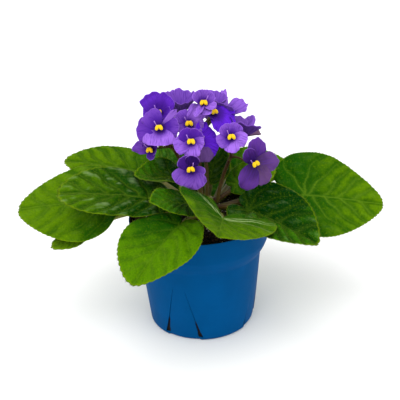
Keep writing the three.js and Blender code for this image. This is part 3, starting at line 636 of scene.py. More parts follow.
def tube(shape, path, radii, sides, slot=0, **fields):
    """A closed round tube with rounded ends along the points of a path."""
    path = np.asarray(path, float)
    radii = np.broadcast_to(radii, len(path)).astype(float)
    way = unit(np.gradient(path, axis=0))
    across = np.cross(way[0], (0.31, 0.52, 0.79))
    rows = []
    for k in range(len(path)):
        across = unit(across - way[k] * np.dot(across, way[k]))
        other = np.cross(way[k], across)
        turn = 2 * math.pi * np.arange(sides)[:, None] / sides
        rows.append(path[k] + radii[k] * (np.cos(turn) * across + np.sin(turn) * other))
    first = path[0] - way[0] * radii[0] * 0.5
    last = path[-1] + way[-1] * radii[-1] * 0.5
    points = np.concatenate([*rows, [first, last]])
    spread = {name: np.concatenate([np.repeat(value, sides), [value[0], value[-1]]])
              if np.ndim(value) else value for name, value in fields.items()}
    shape.add(points, ring_faces(len(path), sides), slot, **spread)


def hairs(shape, roots, ways, lengths, width, slot, pale=0.8):
    """A slim three-sided cone for each hair."""
    ways = unit(ways)
    across = unit(np.cross(ways, (0.21, 0.43, 0.88)))
    other = np.cross(ways, across)
    lengths = np.broadcast_to(lengths, len(roots))[:, None]
    corners = [roots + width / 2 * (math.cos(a) * across + math.sin(a) * other)
               for a in (0, 2 * math.pi / 3, 4 * math.pi / 3)]
    points = np.stack([*corners, roots + ways * lengths], 1).reshape(-1, 3)
    start = 4 * np.arange(len(roots))[:, None]
    faces = np.concatenate([start + [0, 1, 3], start + [1, 2, 3], start + [2, 0, 3], start + [2, 1, 0]])
    shape.add(points, [faces], slot, pale=pale)


def tube_hairs(shape, random, path, radius, density, length, slot, pale=0.2):
    """Hairs that stand out all round a tube."""
    path = np.asarray(path, float)
    count = int(density * len(path))
    at = random.uniform(0, len(path) - 1.001, count)
    k = at.astype(int)
    spot = path[k] + (path[k + 1] - path[k]) * (at - k)[:, None]
    way = unit(np.gradient(path, axis=0))[k]
    out = unit(np.cross(way, unit(random.normal(size=(count, 3)))))
    radii = np.broadcast_to(radius, len(path))[k][:, None]
    hairs(shape, spot + out * radii * 0.95, out + 0.35 * random.normal(size=(count, 3)),
          length * random.uniform(0.6, 1.2, count), 0.1, slot, pale)


def cell_pattern(x, y, size, seed):
    """Distance between the nearest two of scattered seed points: 0 on the cells' borders."""
    x, y = np.asarray(x) / size, np.asarray(y) / size
    column, row = np.floor(x), np.floor(y)
    nearest = np.full(x.shape, 9.0)
    second = np.full(x.shape, 9.0)
    for i in (-1, 0, 1):
        for j in (-1, 0, 1):
            a, b = column + i, row + j
            jitter = np.sin(a * 127.1 + b * 311.7 + seed) * 43758.5453
            wobble = np.sin(a * 269.5 + b * 183.3 + seed) * 43758.5453
            far = np.hypot(a + jitter - np.floor(jitter) - x, b + wobble - np.floor(wobble) - y)
            second = np.minimum(second, np.maximum(nearest, far))
            nearest = np.minimum(nearest, far)
    return second - nearest


def ripple(angle, random, waves):
    """A smooth closed wave of several frequencies, between about -1 and 1."""
    total = np.zeros_like(angle)
    for k in waves:
        total += np.sin(k * angle + random.uniform(0, 2 * math.pi)) / len(waves)
    return total


# ---------------------------------------------------------------- leaves


class Blade:
    """The curved surface of one leaf's blade, and the pattern of its veins."""

    def __init__(self, name, row, number):
        self.__dict__.update(zip(LEAF_FIELDS, row))
        self.name = name
        self.random = np.random.default_rng(100 + number)
        self.joint, self.tip = np.array(self.joint, float), np.array(self.tip, float)
        along = self.tip - self.joint
        self.length = float(np.linalg.norm(along))
        along = along / self.length
        level = unit(np.cross(along, (0, 0, 1)))
        self.side = turned(level, along, self.roll)
        self.start = turned(along, self.side, self.arch)
        end = turned(along, self.side, -self.droop)
        third = self.length / 3
        self.midrib = (self.joint, self.joint + self.start * third, self.tip - end * third, self.tip)
        self.phases = self.random.uniform(0, 2 * math.pi, 12)
        self.scallops = int(self.width * 0.95 + self.length * 0.4)
        self.half = self.width / 2
        self.half_length = (self.length / (1 + LEAF_POINT) + self.lobe) / 2
        self.middle = self.half_length - self.lobe
        self.veins = {half: [self.vein(x, shift, slope, bend) for x, slope, bend in SIDE_VEINS]
                      for half, shift in ((1, 0.03), (-1, -0.04))}

    def vein(self, x, shift, slope, bend):
        """Start along the midrib, forward slope and bend of one side vein."""
        start = (x + shift) * self.length * (x > 0) + self.random.normal() * 0.8
        return start, slope, bend / self.half

    def outline(self, turn, scallop):
        """How far the margin is from the joint: an oval with a point, a notch and scallops."""
        cos, sin = np.cos(turn), np.sin(turn)
        a = (cos / self.half_length) ** 2 + (sin / self.half) ** 2
        b = -2 * self.middle * cos / self.half_length ** 2
        c = (self.middle / self.half_length) ** 2 - 1
        oval = (-b + np.sqrt(b * b - 4 * a * c)) / (2 * a)
        turn = np.abs((turn + math.pi) % (2 * math.pi) - math.pi)
        point = 1 + LEAF_POINT * np.exp(-((turn / LEAF_POINT_SPREAD) ** 2))
        notch = 1 - LEAF_NOTCH * np.exp(-(((math.pi - turn) / LEAF_NOTCH_SPREAD) ** 2))
        edge = 1 - scallop / self.half * (1 - np.abs(np.sin(self.scallops * turn / 2 + self.phases[0])))
        uneven = 0.008 * np.sin(3 * turn + self.phases[9]) + 0.006 * np.sin(7 * turn + self.phases[10])
        return oval * point * notch * edge * (1 + uneven - 0.01)

    def spot(self, reach, turn, scallop=0.0):
        """Place in the flat blade, x along the midrib and y to its right."""
        far = self.outline(turn, scallop) * reach
        x = far * np.cos(turn)
        return x, far * np.sin(turn) * (1 - self.taper * (x - self.middle) / self.half_length)

    def surface(self, x, y):
        """Places in space of spots of the flat blade."""
        t = np.clip(x / self.length, 0, 1)
        at, way = bezier(self.midrib, t)
        back = np.minimum(x, 0)[..., None]
        at = at + self.start * back
        normal = np.cross(self.side, way)
        fold = math.radians(self.fold)
        out = np.sqrt(y * y + 2.0) - math.sqrt(2.0)
        lift = out * math.sin(fold) - self.curl * y * y / self.half
        return at + self.side * (y * math.cos(fold))[..., None] + normal * lift[..., None]

    def normal(self, x, y):
        step = 0.4
        here = self.surface(x, y)
        return unit(np.cross(self.surface(x, y + step) - here, self.surface(x + step, y) - here))

    def pattern(self, x, y, sizes):
        """Vein strength, height of the quilting above the veins, and how far a spot is raised."""
        phase = self.phases
        bent_x = x + 1.7 * np.sin(y * 0.15 + phase[1]) + 0.8 * np.sin(y * 0.37 + x * 0.1 + phase[2])
        sway = 1.3 * np.sin(x * 0.15 + phase[3]) + 0.5 * np.sin(x * 0.4 + phase[4])
        bent_y = y + sway * np.minimum(1, np.abs(y) / 6)
        out = np.abs(bent_y)
        fade = 1 - 0.7 * np.clip(out / self.half, 0, 1)
        nearest = np.full(x.shape, 99.0)
        vein = np.zeros(x.shape)
        for half, rows in self.veins.items():
            here = bent_y * half >= 0
            for start, slope, bend in rows:
                off = bent_x - start - slope * out - bend * out * out
                far = np.where(here, np.abs(off) / np.sqrt(1 + (slope + 2 * bend * out) ** 2), 99.0)
                nearest = np.minimum(nearest, far)
                stroke = np.exp(-((far / (0.75 * fade)) ** 2)) + 0.7 * np.exp(-((far / (2.2 * fade)) ** 2))
                vein = np.maximum(vein, stroke * fade / 1.7)
        ahead = np.clip((x + 1.5) / 3, 0, 1)
        taper = 1 - 0.75 * np.clip(x / self.length, 0, 1)
        far = np.where(ahead > 0, np.abs(y), 99.0)
        vein = np.maximum(vein, np.exp(-((far / (1.1 * taper)) ** 2)) * ahead)
        nearest = np.minimum(nearest, far * (1 + 2 * (1 - ahead)))
        cells = cell_pattern(bent_x, bent_y * 0.8, sizes.cells / MM, phase[4])
        quilt = 1 - np.exp(-((nearest / (2.6 * self.width / 60)) ** 2))
        dome = np.minimum(1, cells / 0.55)
        dome = dome * dome * (3 - 2 * dome)
        pucker = (np.sin(0.3 * x + 0.2 * y + phase[1]) * np.sin(0.26 * y - 0.13 * x + phase[2]) * 0.7
                  + np.sin(0.5 * y + 0.27 * x + phase[3]) * 0.25)
        bulge = sizes.quilt / MM * (quilt - 0.5) + 0.45 * (dome - 0.5) * quilt + 0.6 * pucker
        raised = quilt * (0.65 + 0.35 * dome)
        return self.veined * vein, self.quilt * bulge, 1 - min(1.0, self.quilt) * (1 - raised)

    def downy(self, x, y):
        """Where whitish down lies along the bold veins, in two lines each."""
        shown = np.zeros_like(x)
        for half, slope, strength in BOLD_VEINS.get(self.name, ()):
            bent = x + 0.8 * np.sin(y * 0.25 + slope)
            off = np.abs(bent - slope * np.abs(y)) / math.hypot(1, slope)
            stroke = np.exp(-(((off - 1.1) / 0.4) ** 2)) * np.clip(1.2 - np.abs(y) / self.half, 0, 1)
            shown = np.maximum(shown, np.where(y * half > 0.5, strength * stroke, 0))
        return shown

    def sunny(self, x, y):
        """Painted light and shade: darker towards the joint, where the rosette shades the blade, and lighter
        on the lit side of the midrib on some leaves.
        """
        half = LIT_HALVES.get(self.name, 0) * np.tanh(y / 3) * np.clip(1.2 - x / self.length, 0, 1)
        return 1.1 * np.clip(0.1 + 1.3 * x / self.length, 0, 1) - 0.15 + self.sun + half

    def waves(self, reach, turn):
        """Slow waves of the blade, strongest at its margin."""
        rise = sum(height * np.sin(count * turn + phase)
                   for count, height, phase in zip((3, 5, 8), (0.9, 0.6, 0.35), self.phases[5:8]))
        return rise * reach ** 2.5 * min(1.0, self.width / 55)

    def skin(self, reach, turn, height, sizes, face):
        """How far the skin lies above the blade's middle surface, or below it where face is -1."""
        fade = np.clip((1 - reach) / 0.1, 0, 1) * 0.85 + 0.15
        thick = sizes.blade / MM / 2 * (1 - 0.6 * reach ** 2)
        return height * fade + self.waves(reach, turn) + thick * face


def blade_mesh(shape, blade, sizes):
    around = int(np.clip(blade.width * 5, 140, 340))
    rings = int(np.clip(blade.width * 0.9, 26, 60))
    reach, turn, side = disc_places(rings, around, 0.9)
    x, y = blade.spot(reach, turn, sizes.scallop / MM)
    vein, height, raised = blade.pattern(x, y, sizes)
    ribs = np.where(side < 0, 0.6 * vein * np.clip(1.2 - reach, 0, 1), 0)
    rise = blade.skin(reach, turn, height, sizes, side) + ribs * side
    points = blade.surface(x, y) + blade.normal(x, y) * rise[:, None]
    rim = np.exp(-(((1 - reach) * blade.half / 0.8) ** 2))
    place = np.stack([x, y, np.full_like(x, blade.phases[8] * 20)], 1)
    shape.add(points, disc_faces(rings, around), 0, vein=vein, raised=raised, rim=rim,
              downy=blade.downy(x, y), sun=blade.sunny(x, y),
              below=(side < 0).astype(float), place=place, blush=0.0)


def blade_hairs(shape, blade, sizes):
    """Hairs on both faces of a blade and along its margin, where face is 0."""
    random = blade.random
    area = blade.length * blade.width * 0.75
    turns = np.linspace(-math.pi, math.pi, 721)
    share = np.cumsum(blade.outline(turns, 0) ** 2)
    share = (share - share[0]) / (share[-1] - share[0])
    for face, density in ((1, DOWN["above"]), (-1, DOWN["below"]), (0, DOWN["margin"])):
        count = int(area * density * blade.down) if face else int(blade.width * density)
        turn = np.interp(random.uniform(0, 1, count), share, turns)
        reach = np.sqrt(random.uniform(0.02, 0.99, count)) if face else np.full(count, 0.995)
        x, y = blade.spot(reach, turn, sizes.scallop / MM if not face else 0.0)
        height = blade.pattern(x, y, sizes)[1]
        normal = blade.normal(x, y)
        roots = blade.surface(x, y) + normal * blade.skin(reach, turn, height, sizes, face)[:, None]
        ahead = unit(blade.surface(x + 1, y) - blade.surface(x, y))
        outward = unit(roots - (blade.joint + blade.tip) / 2)
        lean = 0.45 * ahead + 0.55 * random.normal(size=(count, 3)) * 0.6
        ways = normal * face + lean if face else outward + 0.5 * normal + lean
        lengths = sizes.hair / MM * random.uniform(0.55, 1.15, count)
        hairs(shape, roots, ways, lengths, 0.09, 2, min(1.0, 0.6 * blade.down))


def leaf_stalk(shape, blade, sizes):
    """The round stalk from the crown to the joint, running on as the rib under the blade."""
    turn = math.radians(blade.turn)
    away = np.array([math.cos(turn), math.sin(turn), 0.25])
    crown = np.array([CROWN["x"], CROWN["y"], blade.height])
    start = crown + np.array([math.cos(turn), math.sin(turn), 0]) * (CROWN["radius"] + GAP - 1.5)
    zero = np.zeros(1)
    under = blade.normal(zero, zero)[0]
    dip = blade.pattern(zero, zero, sizes)[1][0]
    joint = blade.joint - under * (STALK_RADIUS * 0.9 - dip)
    pull = np.linalg.norm(joint - start) / 3
    ends = (start, start + away * pull, joint - blade.start * pull + np.array([0, 0, blade.sag]), joint)
    path = bezier(ends, np.linspace(0, 1, STEM_STEPS))[0]
    inside = np.linspace(0, 0.55, 16)[1:] * blade.length
    flat = np.zeros_like(inside)
    fade = np.linspace(1, 0, len(inside))
    radii = np.concatenate([np.linspace(STALK_RADIUS, STALK_RADIUS * 0.82, STEM_STEPS),
                            STALK_RADIUS * (0.25 + 0.57 * fade)])
    depth = 0.3 + radii[STEM_STEPS:] * 0.9 - blade.pattern(inside, flat, sizes)[1]
    ribs = blade.surface(inside, flat) - blade.normal(inside, flat) * depth[:, None]
    path = np.concatenate([path, ribs])
    blush = np.concatenate([np.linspace(min(1, blade.blush + 0.3), blade.blush, STEM_STEPS),
                            blade.blush * fade])
    tube(shape, path, radii, 18, 1, blush=blush)
    hairy = STEM_STEPS + 4
    tube_hairs(shape, blade.random, path[:hairy], radii[:hairy], 12, 1.6, 2)


class VIOLET_OT_leaves(bpy.types.Operator):
    """Make every leaf: its quilted blade, its round stalk and the down on both"""

    bl_idname = "violet.leaves"
    bl_label = "Leaves"

    def execute(self, context):
        sizes, colours = context.scene.violet_sizes, context.scene.violet_colours
        finishes = {name: leaf_finish(colours, f"{name}_leaf", getattr(colours, name), painted_sheen, lights)
                    for name, (painted_sheen, lights) in LEAF_FINISHES.items()}
        stalk, down = stalk_finish(colours, "leaf_stalk"), hair_finish(colours)
        for number, (name, row) in enumerate(LEAVES.items()):
            blade = Blade(name, row, number)
            shape = Shape()
            blade_mesh(shape, blade, sizes)
            leaf_stalk(shape, blade, sizes)
            blade_hairs(shape, blade, sizes)
            shape.build(f"{name}_grown", (finishes[blade.finish], stalk, down), name)
        return {"FINISHED"}


# ---------------------------------------------------------------- flowers


class Corolla:
    """The frame and outline of one flower."""

    def __init__(self, row, number):
        self.__dict__.update(zip(FLOWER_FIELDS, row))
        self.number = number + 1
        self.name = f"flower_{self.number:02d}"
        self.random = np.random.default_rng(500 + number)
        self.eye, self.faces = np.array(self.eye, float), unit(self.faces)
        across = unit(np.cross((0, 0, 1), self.faces))
        upward = np.cross(self.faces, across)
        self.across = turned(across, self.faces, self.spin)
        self.upward = turned(upward, self.faces, self.spin)

    def at(self, across, upward, forward):
        """Places in space from distances to the right of, above and in front of the eye."""
        across, upward, forward = (np.asarray(step)[..., None] for step in (across, upward, forward))
        return self.eye + self.across * across + self.upward * upward + self.faces * forward


def petal_mesh(shape, flower, sizes):
    """A flower's five overlapping lobes and the small disc that closes its throat."""
    random = flower.random
    rings, around = 16, 72
    reach, turn, side = disc_places(rings, around, 0.85)
    cos, sin = np.cos(turn), np.sin(turn)
    waves = random.uniform(0, 2 * math.pi, 3)
    for lobe, scale in enumerate(flower.lobes):
        odd = dict(zip(ODD_LOBE_FIELDS, ODD_LOBES.get((flower.number, lobe), PLAIN_LOBE)))
        shift = math.radians(odd["shift"])
        axis = 2 * math.pi * lobe / 5 - math.pi / 2 + shift + random.normal() * 0.03
        full = flower.size * scale * odd["long"] * (1 + random.normal() * 0.02)
        half_width = flower.size * (0.4 + 0.6 * scale) * 0.54 * flower.broad * odd["wide"]
        frill = 1 + 0.04 * ripple(turn, random, (3, 5, 8, 13)) * reach / (1 + flower.cup)
        along = full * (0.5 + 0.5 * np.sign(cos) * np.abs(cos) ** 0.85 * reach)
        tip = flower.point * np.clip(along / full - 0.5, 0, 1)
        over = half_width * reach * sin * (0.6 + 0.5 * along / full) * frill * (1 - 1.1 * tip)
        along = along * frill * (1 + 0.2 * tip * np.exp(-((over / (0.3 * half_width)) ** 2)))
        t = along / full
        far = np.hypot(along, over)
        spread = far / flower.size
        angle = axis + np.arctan2(over, along)
        ruffle = sum(height * np.sin(count * angle + wave)
                     for count, height, wave in zip((5, 8, 13), (0.5, 0.4, 0.3), waves))
        fold = math.radians(odd["fold"])
        skin = sizes.petal / MM / 2 * (1 - 0.55 * reach) * side * np.hypot(1, 2 * flower.cup * spread)
        forward = (flower.cup * far * spread
                   - PETAL_THROAT * np.maximum(0, 1 - spread) ** 2
                   + sizes.ruffle / MM * spread ** 3 * flower.size / 12 * ruffle
                   + odd["lift"] * flower.size * t * t
                   - 0.4 * np.exp(-((over / (0.07 * full)) ** 2)) * t * (1.1 - t)
                   + 0.5 * over / half_width * (0.3 + t) - (0.5 * t if lobe in (2, 3) else 0)
                   + 0.5 * reach ** 3 * ripple(turn, random, (3, 5, 9)) / (1 + flower.cup)
                   - flower.size * 0.05 * np.clip((spread - 0.75) / 0.25, 0, 1.5) ** 2
                   + over * math.sin(fold) + skin)
        over = over * math.cos(fold)
        right = along * math.cos(axis) - over * math.sin(axis)
        up = along * math.sin(axis) + over * math.cos(axis)
        # Each lobe takes its painted shading from the table, and a turned-over lobe takes painted shade
        # through the dusk field.
        shape.add(flower.at(right, up, forward), disc_faces(rings, around), 0,
                  rim=np.clip(1 - (1 - reach) * full / 1.6, 0, 1) * np.clip(t * 2 - 0.6, 0, 1),
                  reach=np.clip(spread, 0, 1), tone=flower.tones[lobe],
                  below=np.maximum(side < 0, odd["reverse"] > 0).astype(float),
                  vivid=flower.vivid * (1 - odd["reverse"]), dusk=max(flower.dusk, 0.5 * odd["reverse"]),
                  brown=BROWNED.get((flower.number, lobe), 0.0),
                  place=np.stack([over / full, t, np.full_like(t, lobe * 3.7 + flower.size)], 1))
    rings, around = 5, 30
    reach, turn, side = disc_places(rings, around)
    ring = 0.26 * flower.size * reach
    forward = -PETAL_THROAT * (1 - 0.3 * reach) ** 2 - 0.55 + 0.2 * side
    points = flower.at(ring * np.cos(turn), ring * np.sin(turn), forward)
    shape.add(points, disc_faces(rings, around), 0, reach=0.05, rim=0.0, tone=0.5, brown=0.0,
              below=(side < 0).astype(float), vivid=flower.vivid, dusk=flower.dusk,
              place=np.stack([reach, turn, turn], 1))


class VIOLET_OT_petals(bpy.types.Operator):
    """Make the corollas: five ruffled lobes and a throat each"""

    bl_idname = "violet.petals"
    bl_label = "Petals"

    def execute(self, context):
        sizes, colours = context.scene.violet_sizes, context.scene.violet_colours
        finish = petal_finish(colours)
        for number, row in enumerate(FLOWERS):
            flower = Corolla(row, number)
            shape = Shape()
            petal_mesh(shape, flower, sizes)
            shape.build(f"{flower.name}_corolla", (finish,), f"{flower.name}_petals")
        return {"FINISHED"}


class VIOLET_OT_stamens(bpy.types.Operator):
    """Make each flower's pair of pollen sacs, their threads and the slim style beside them"""

    bl_idname = "violet.stamens"
    bl_label = "Stamens"

    def execute(self, context):
        colours = context.scene.violet_colours
        finish = anther_finish(colours)
        for number, row in enumerate(FLOWERS):
            flower = Corolla(row, number)
            shape = Shape()
            self.sacs(shape, flower)
            shape.build(f"{flower.name}_anthers", (finish,), f"{flower.name}_stamens")
        return {"FINISHED"}

    def sacs(self, shape, flower):
        """Two grooved bean-shaped sacs, a curved thread behind each, and the style."""
        random = flower.random
        rings, around = 12, 28
        reach, turn, side = disc_places(rings, around)
        out, rise = np.sin(reach * math.pi / 2), np.cos(reach * math.pi / 2) * side
        across = out * np.cos(turn)
        waist = 0.2 * np.exp(-((across / 0.22) ** 2)) * (rise > -0.2)
        bean = 1 + 0.04 * np.cos(2 * turn) - waist
        groove = 1 - 0.25 * np.exp(-((across / 0.2) ** 2))
        tilt = math.radians(SAC["tilt"] + random.normal() * 6)
        for hand in (-1, 1):
            right = SAC["half_width"] * across * bean
            up = SAC["half_length"] * out * np.sin(turn) * bean
            forward = SAC["half_depth"] * rise * groove + 1.3
            right = right * math.cos(tilt * hand) - up * math.sin(tilt * hand) + hand * SAC["apart"]
            shape.add(flower.at(right, up, forward), disc_faces(rings, around), 0, violet=0.0)
            thread = np.stack([flower.at(hand * (0.5 + 0.6 * s), -0.5 * math.sin(math.pi * s), -2.0 + 2.6 * s)
                               for s in np.linspace(0, 1, 8)])
            tube(shape, thread, np.linspace(0.38, 0.3, 8), 8, 0, violet=0.35)
        lean = random.choice((-1, 1))
        style = np.stack([flower.at(lean * (0.3 + 2.6 * s), 0.6 + 3.8 * s * s, -2.0 + 5.2 * s)
                          for s in np.linspace(0, 1, 10)])
        tube(shape, style, np.concatenate([np.full(8, 0.26), [0.34, 0.36]]), 8, 0, violet=0.9)


def stalk_route(flower, fork, rising):
    """The path of one thin stalk from the fork to the flower's back."""
    back = flower.eye - flower.faces * (PETAL_THROAT + 0.6)
    foot = back - flower.faces * CALYX_LENGTH
    root = fork - rising
    pull = np.linalg.norm(foot - fork) / 3
    ends = (root, root + rising * pull, foot - flower.faces * pull, foot + flower.faces)
    return bezier(ends, np.linspace(0, 1, BRANCH_STEPS))[0], foot, back


def calyx(shape, flower, foot, back):
    """Five narrow green lobes and the small cup that they grow from."""
    length = np.linalg.norm(back - foot)
    cup = np.stack([foot + (back - foot) * s for s in np.linspace(-0.1, 0.85, len(CALYX_SWELL))])
    tube(shape, cup, CALYX_SWELL, 16, 0, blush=0.55)
    rings, around = 8, 24
    reach, turn, side = disc_places(rings, around)
    for lobe in range(5):
        axis = 2 * math.pi * (lobe + 0.5) / 5 - math.pi / 2
        along = 3.1 + 3.1 * reach * np.cos(turn)
        over = 0.85 * reach * np.sin(turn) * (1 - 0.1 * along)
        out = 1.3 + 0.18 * along + 0.05 * along ** 2 - 0.3 * over * over
        depth = -PETAL_THROAT - 0.6 - length * 0.8 + along * 0.72
        right = out * math.cos(axis) - over * math.sin(axis)
        up = out * math.sin(axis) + over * math.cos(axis)
        points = flower.at(right, up, depth + 0.16 * side * (1 - 0.5 * reach))
        shape.add(points, disc_faces(rings, around), 0, blush=0.35 + 0.3 * reach)


class VIOLET_OT_flower_stalks(bpy.types.Operator):
    """Make the flower stalks: hairy stems that fork, with a green calyx behind each flower"""

    bl_idname = "violet.flower_stalks"
    bl_label = "Flower stalks"

    def execute(self, context):
        colours = context.scene.violet_colours
        finish, down = stalk_finish(colours), hair_finish(colours)
        flowers = [Corolla(row, number) for number, row in enumerate(FLOWERS)]
        for number, (name, (leaves, fork, bend)) in enumerate(STALKS.items()):
            random = np.random.default_rng(900 + number)
            leaves, fork, bend = (np.array(each, float) for each in (leaves, fork, bend))
            t = np.linspace(0, 1, STEM_STEPS)[:, None]
            stem = leaves * (1 - t) ** 2 + 2 * bend * t * (1 - t) + fork * t * t
            rising = unit(fork - bend)
            shape = Shape()
            radii = np.linspace(STEM["foot_radius"], STEM["fork_radius"], STEM_STEPS)
            tube(shape, stem, radii, 16, 0, blush=np.linspace(0.75, 1.0, STEM_STEPS))
            tube_hairs(shape, random, stem, radii, 8, 1.7, 1)
            for flower in (each for each in flowers if each.stalk == name):
                path, foot, back = stalk_route(flower, fork, rising)
                branch = np.linspace(STEM["branch_radius"], STEM["branch_end"], BRANCH_STEPS)
                tube(shape, path, branch, 12, 0, blush=np.linspace(1.0, 0.7, BRANCH_STEPS))
                tube_hairs(shape, random, path, 0.8, 7, 1.3, 1)
                calyx(shape, flower, foot, back)
                tube_hairs(shape, random, np.stack([foot, (foot + back) / 2, back]), 1.5, 40, 1.3, 1)
            self.bracts(shape, random, fork, rising)
            self.bud(shape, random, fork, rising)
            shape.build(f"flower_stalk_{name}_grown", (finish, down), f"flower_stalk_{name}")
        return {"FINISHED"}

    def bracts(self, shape, random, fork, rising):
        """Two small leafy scales where the stalk forks."""
        across = unit(np.cross(rising, unit(random.normal(size=3))))
        other = np.cross(rising, across)
        rings, around = 6, 20
        reach, turn, side = disc_places(rings, around)
        for hand in (-1, 1):
            along = 2.6 + 2.6 * reach * np.cos(turn)
            over = 1.0 * reach * np.sin(turn) * (1.1 - 0.12 * along)
            out = 1.0 + 0.35 * along + 0.15 * side * (1 - 0.5 * reach)
            points = (fork - rising * 2 + hand * across * out[:, None] + other * over[:, None]
                      + rising * (along * 0.8)[:, None])
            shape.add(points, disc_faces(rings, around), 0, blush=0.5)

    def bud(self, shape, random, fork, rising):
        """One small unopened bud on a short bent stalk."""
        way = unit(rising * 0.6 + unit(random.normal(size=3)) * 0.8)
        start = fork - rising
        path = bezier((start, start + rising * 3, start + rising * 5 + way * 2, start + rising * 5 + way * 6),
                      np.linspace(0, 1, 16))[0]
        tube(shape, path, np.linspace(0.7, 0.6, 16), 10, 0, blush=0.9)
        tip = path[-1]
        swell = np.sin(np.linspace(0.25, math.pi * 0.97, 12))
        body = np.stack([tip + way * s for s in np.linspace(0, 4.2, 12)])
        tube(shape, body, 0.35 + 1.25 * swell, 14, 0, blush=0.5)
        tube_hairs(shape, random, body, 0.35 + 1.2 * swell, 16, 1.1, 1)


# ---------------------------------------------------------------- crown, mix and pot


class VIOLET_OT_crown(bpy.types.Operator):
    """Make the short stem in the middle of the rosette, with its leaf scars and its hairs"""

    bl_idname = "violet.crown"
    bl_label = "Crown"

    def execute(self, context):
        colours = context.scene.violet_colours
        random = np.random.default_rng(7)
        shape = Shape()
        around, rows = 72, 40
        turn = 2 * math.pi * np.arange(around) / around
        height = np.linspace(CROWN["foot"], CROWN["top"], rows)
        share = (height - CROWN["foot"]) / (CROWN["top"] - CROWN["foot"])
        radius = CROWN["radius"] * np.sqrt(np.clip(1 - (share - 0.35) ** 4 * 4.5, 0.05, 1)) * 0.97
        bumps = (np.sin(5 * turn[None, :] + 9 * share[:, None]) * 0.35
                 + np.sin(8 * turn[None, :] - 14 * share[:, None]) * 0.2)
        full = radius[:, None] + bumps * np.sin(math.pi * np.clip(share, 0.05, 0.95))[:, None]
        points = np.stack([CROWN["x"] + full * np.cos(turn), CROWN["y"] + full * np.sin(turn),
                           np.repeat(height[:, None], around, 1)], -1).reshape(-1, 3)
        ends = [(CROWN["x"], CROWN["y"], CROWN[end]) for end in ("foot", "top")]
        shape.add(np.concatenate([points, ends]), ring_faces(rows, around), 0,
                  blush=np.concatenate([np.repeat(0.8 - 0.4 * share, around), [0.8, 0.3]]))
        spots = random.uniform(0, 1, (260, 2))
        angle, level = spots[:, 0] * 2 * math.pi, 0.25 + spots[:, 1] * 0.7
        out = np.stack([np.cos(angle), np.sin(angle), np.full_like(angle, 0.3)], 1)
        radii = np.interp(level, share, radius)
        roots = np.stack([CROWN["x"] + radii * np.cos(angle), CROWN["y"] + radii * np.sin(angle),
                          CROWN["foot"] + level * (CROWN["top"] - CROWN["foot"])], 1)
        hairs(shape, roots, out + 0.3 * random.normal(size=out.shape), 1.6, 0.1, 1)
        shape.build("crown_stem_grown",
                    (stalk_finish(colours, "crown_skin"), hair_finish(colours)), "crown_stem")
        return {"FINISHED"}


def wall_line():
    """The pot's outer wall from the foot to the rim, as radius and height."""
    return [(POT["foot"], POT["foot_height"]), (POT["shoulder"], POT["shoulder_height"]),
            (POT["step"], POT["step_height"]), (POT["collar"], POT["collar_foot"]),
            (POT["rim"], POT["height"])]


def rounded(line, radius, steps=5):
    """A polyline whose inner corners are rounded off."""
    line = [np.array(point, float) for point in line]
    made = [line[0]]
    for before, corner, after in zip(line, line[1:], line[2:]):
        a, b = before - corner, after - corner
        cut = min(radius, np.linalg.norm(a) * 0.45, np.linalg.norm(b) * 0.45)
        first, last = corner + unit(a) * cut, corner + unit(b) * cut
        for t in np.linspace(0, 1, steps):
            made.append(first * (1 - t) ** 2 + 2 * corner * t * (1 - t) + last * t * t)
    made.append(line[-1])
    return np.array(made)


def lathe_mesh(shape, profile, sides, slot=0, change=None, **fields):
    """A closed turned solid. The profile starts and ends on the axis."""
    rim = np.asarray(profile[1:-1], float)
    turn = 2 * math.pi * np.arange(sides) / sides
    radius, height = np.repeat(rim[:, 0], sides), np.repeat(rim[:, 1], sides)
    angle = np.tile(turn, len(rim))
    if change is not None:
        radius, height = change(radius, height, angle)
    points = np.stack([radius * np.cos(angle), radius * np.sin(angle), height], 1)
    ends = [(0, 0, profile[0][1]), (0, 0, profile[-1][1])]
    shape.add(np.concatenate([points, ends]), ring_faces(len(rim), sides), slot, **fields)


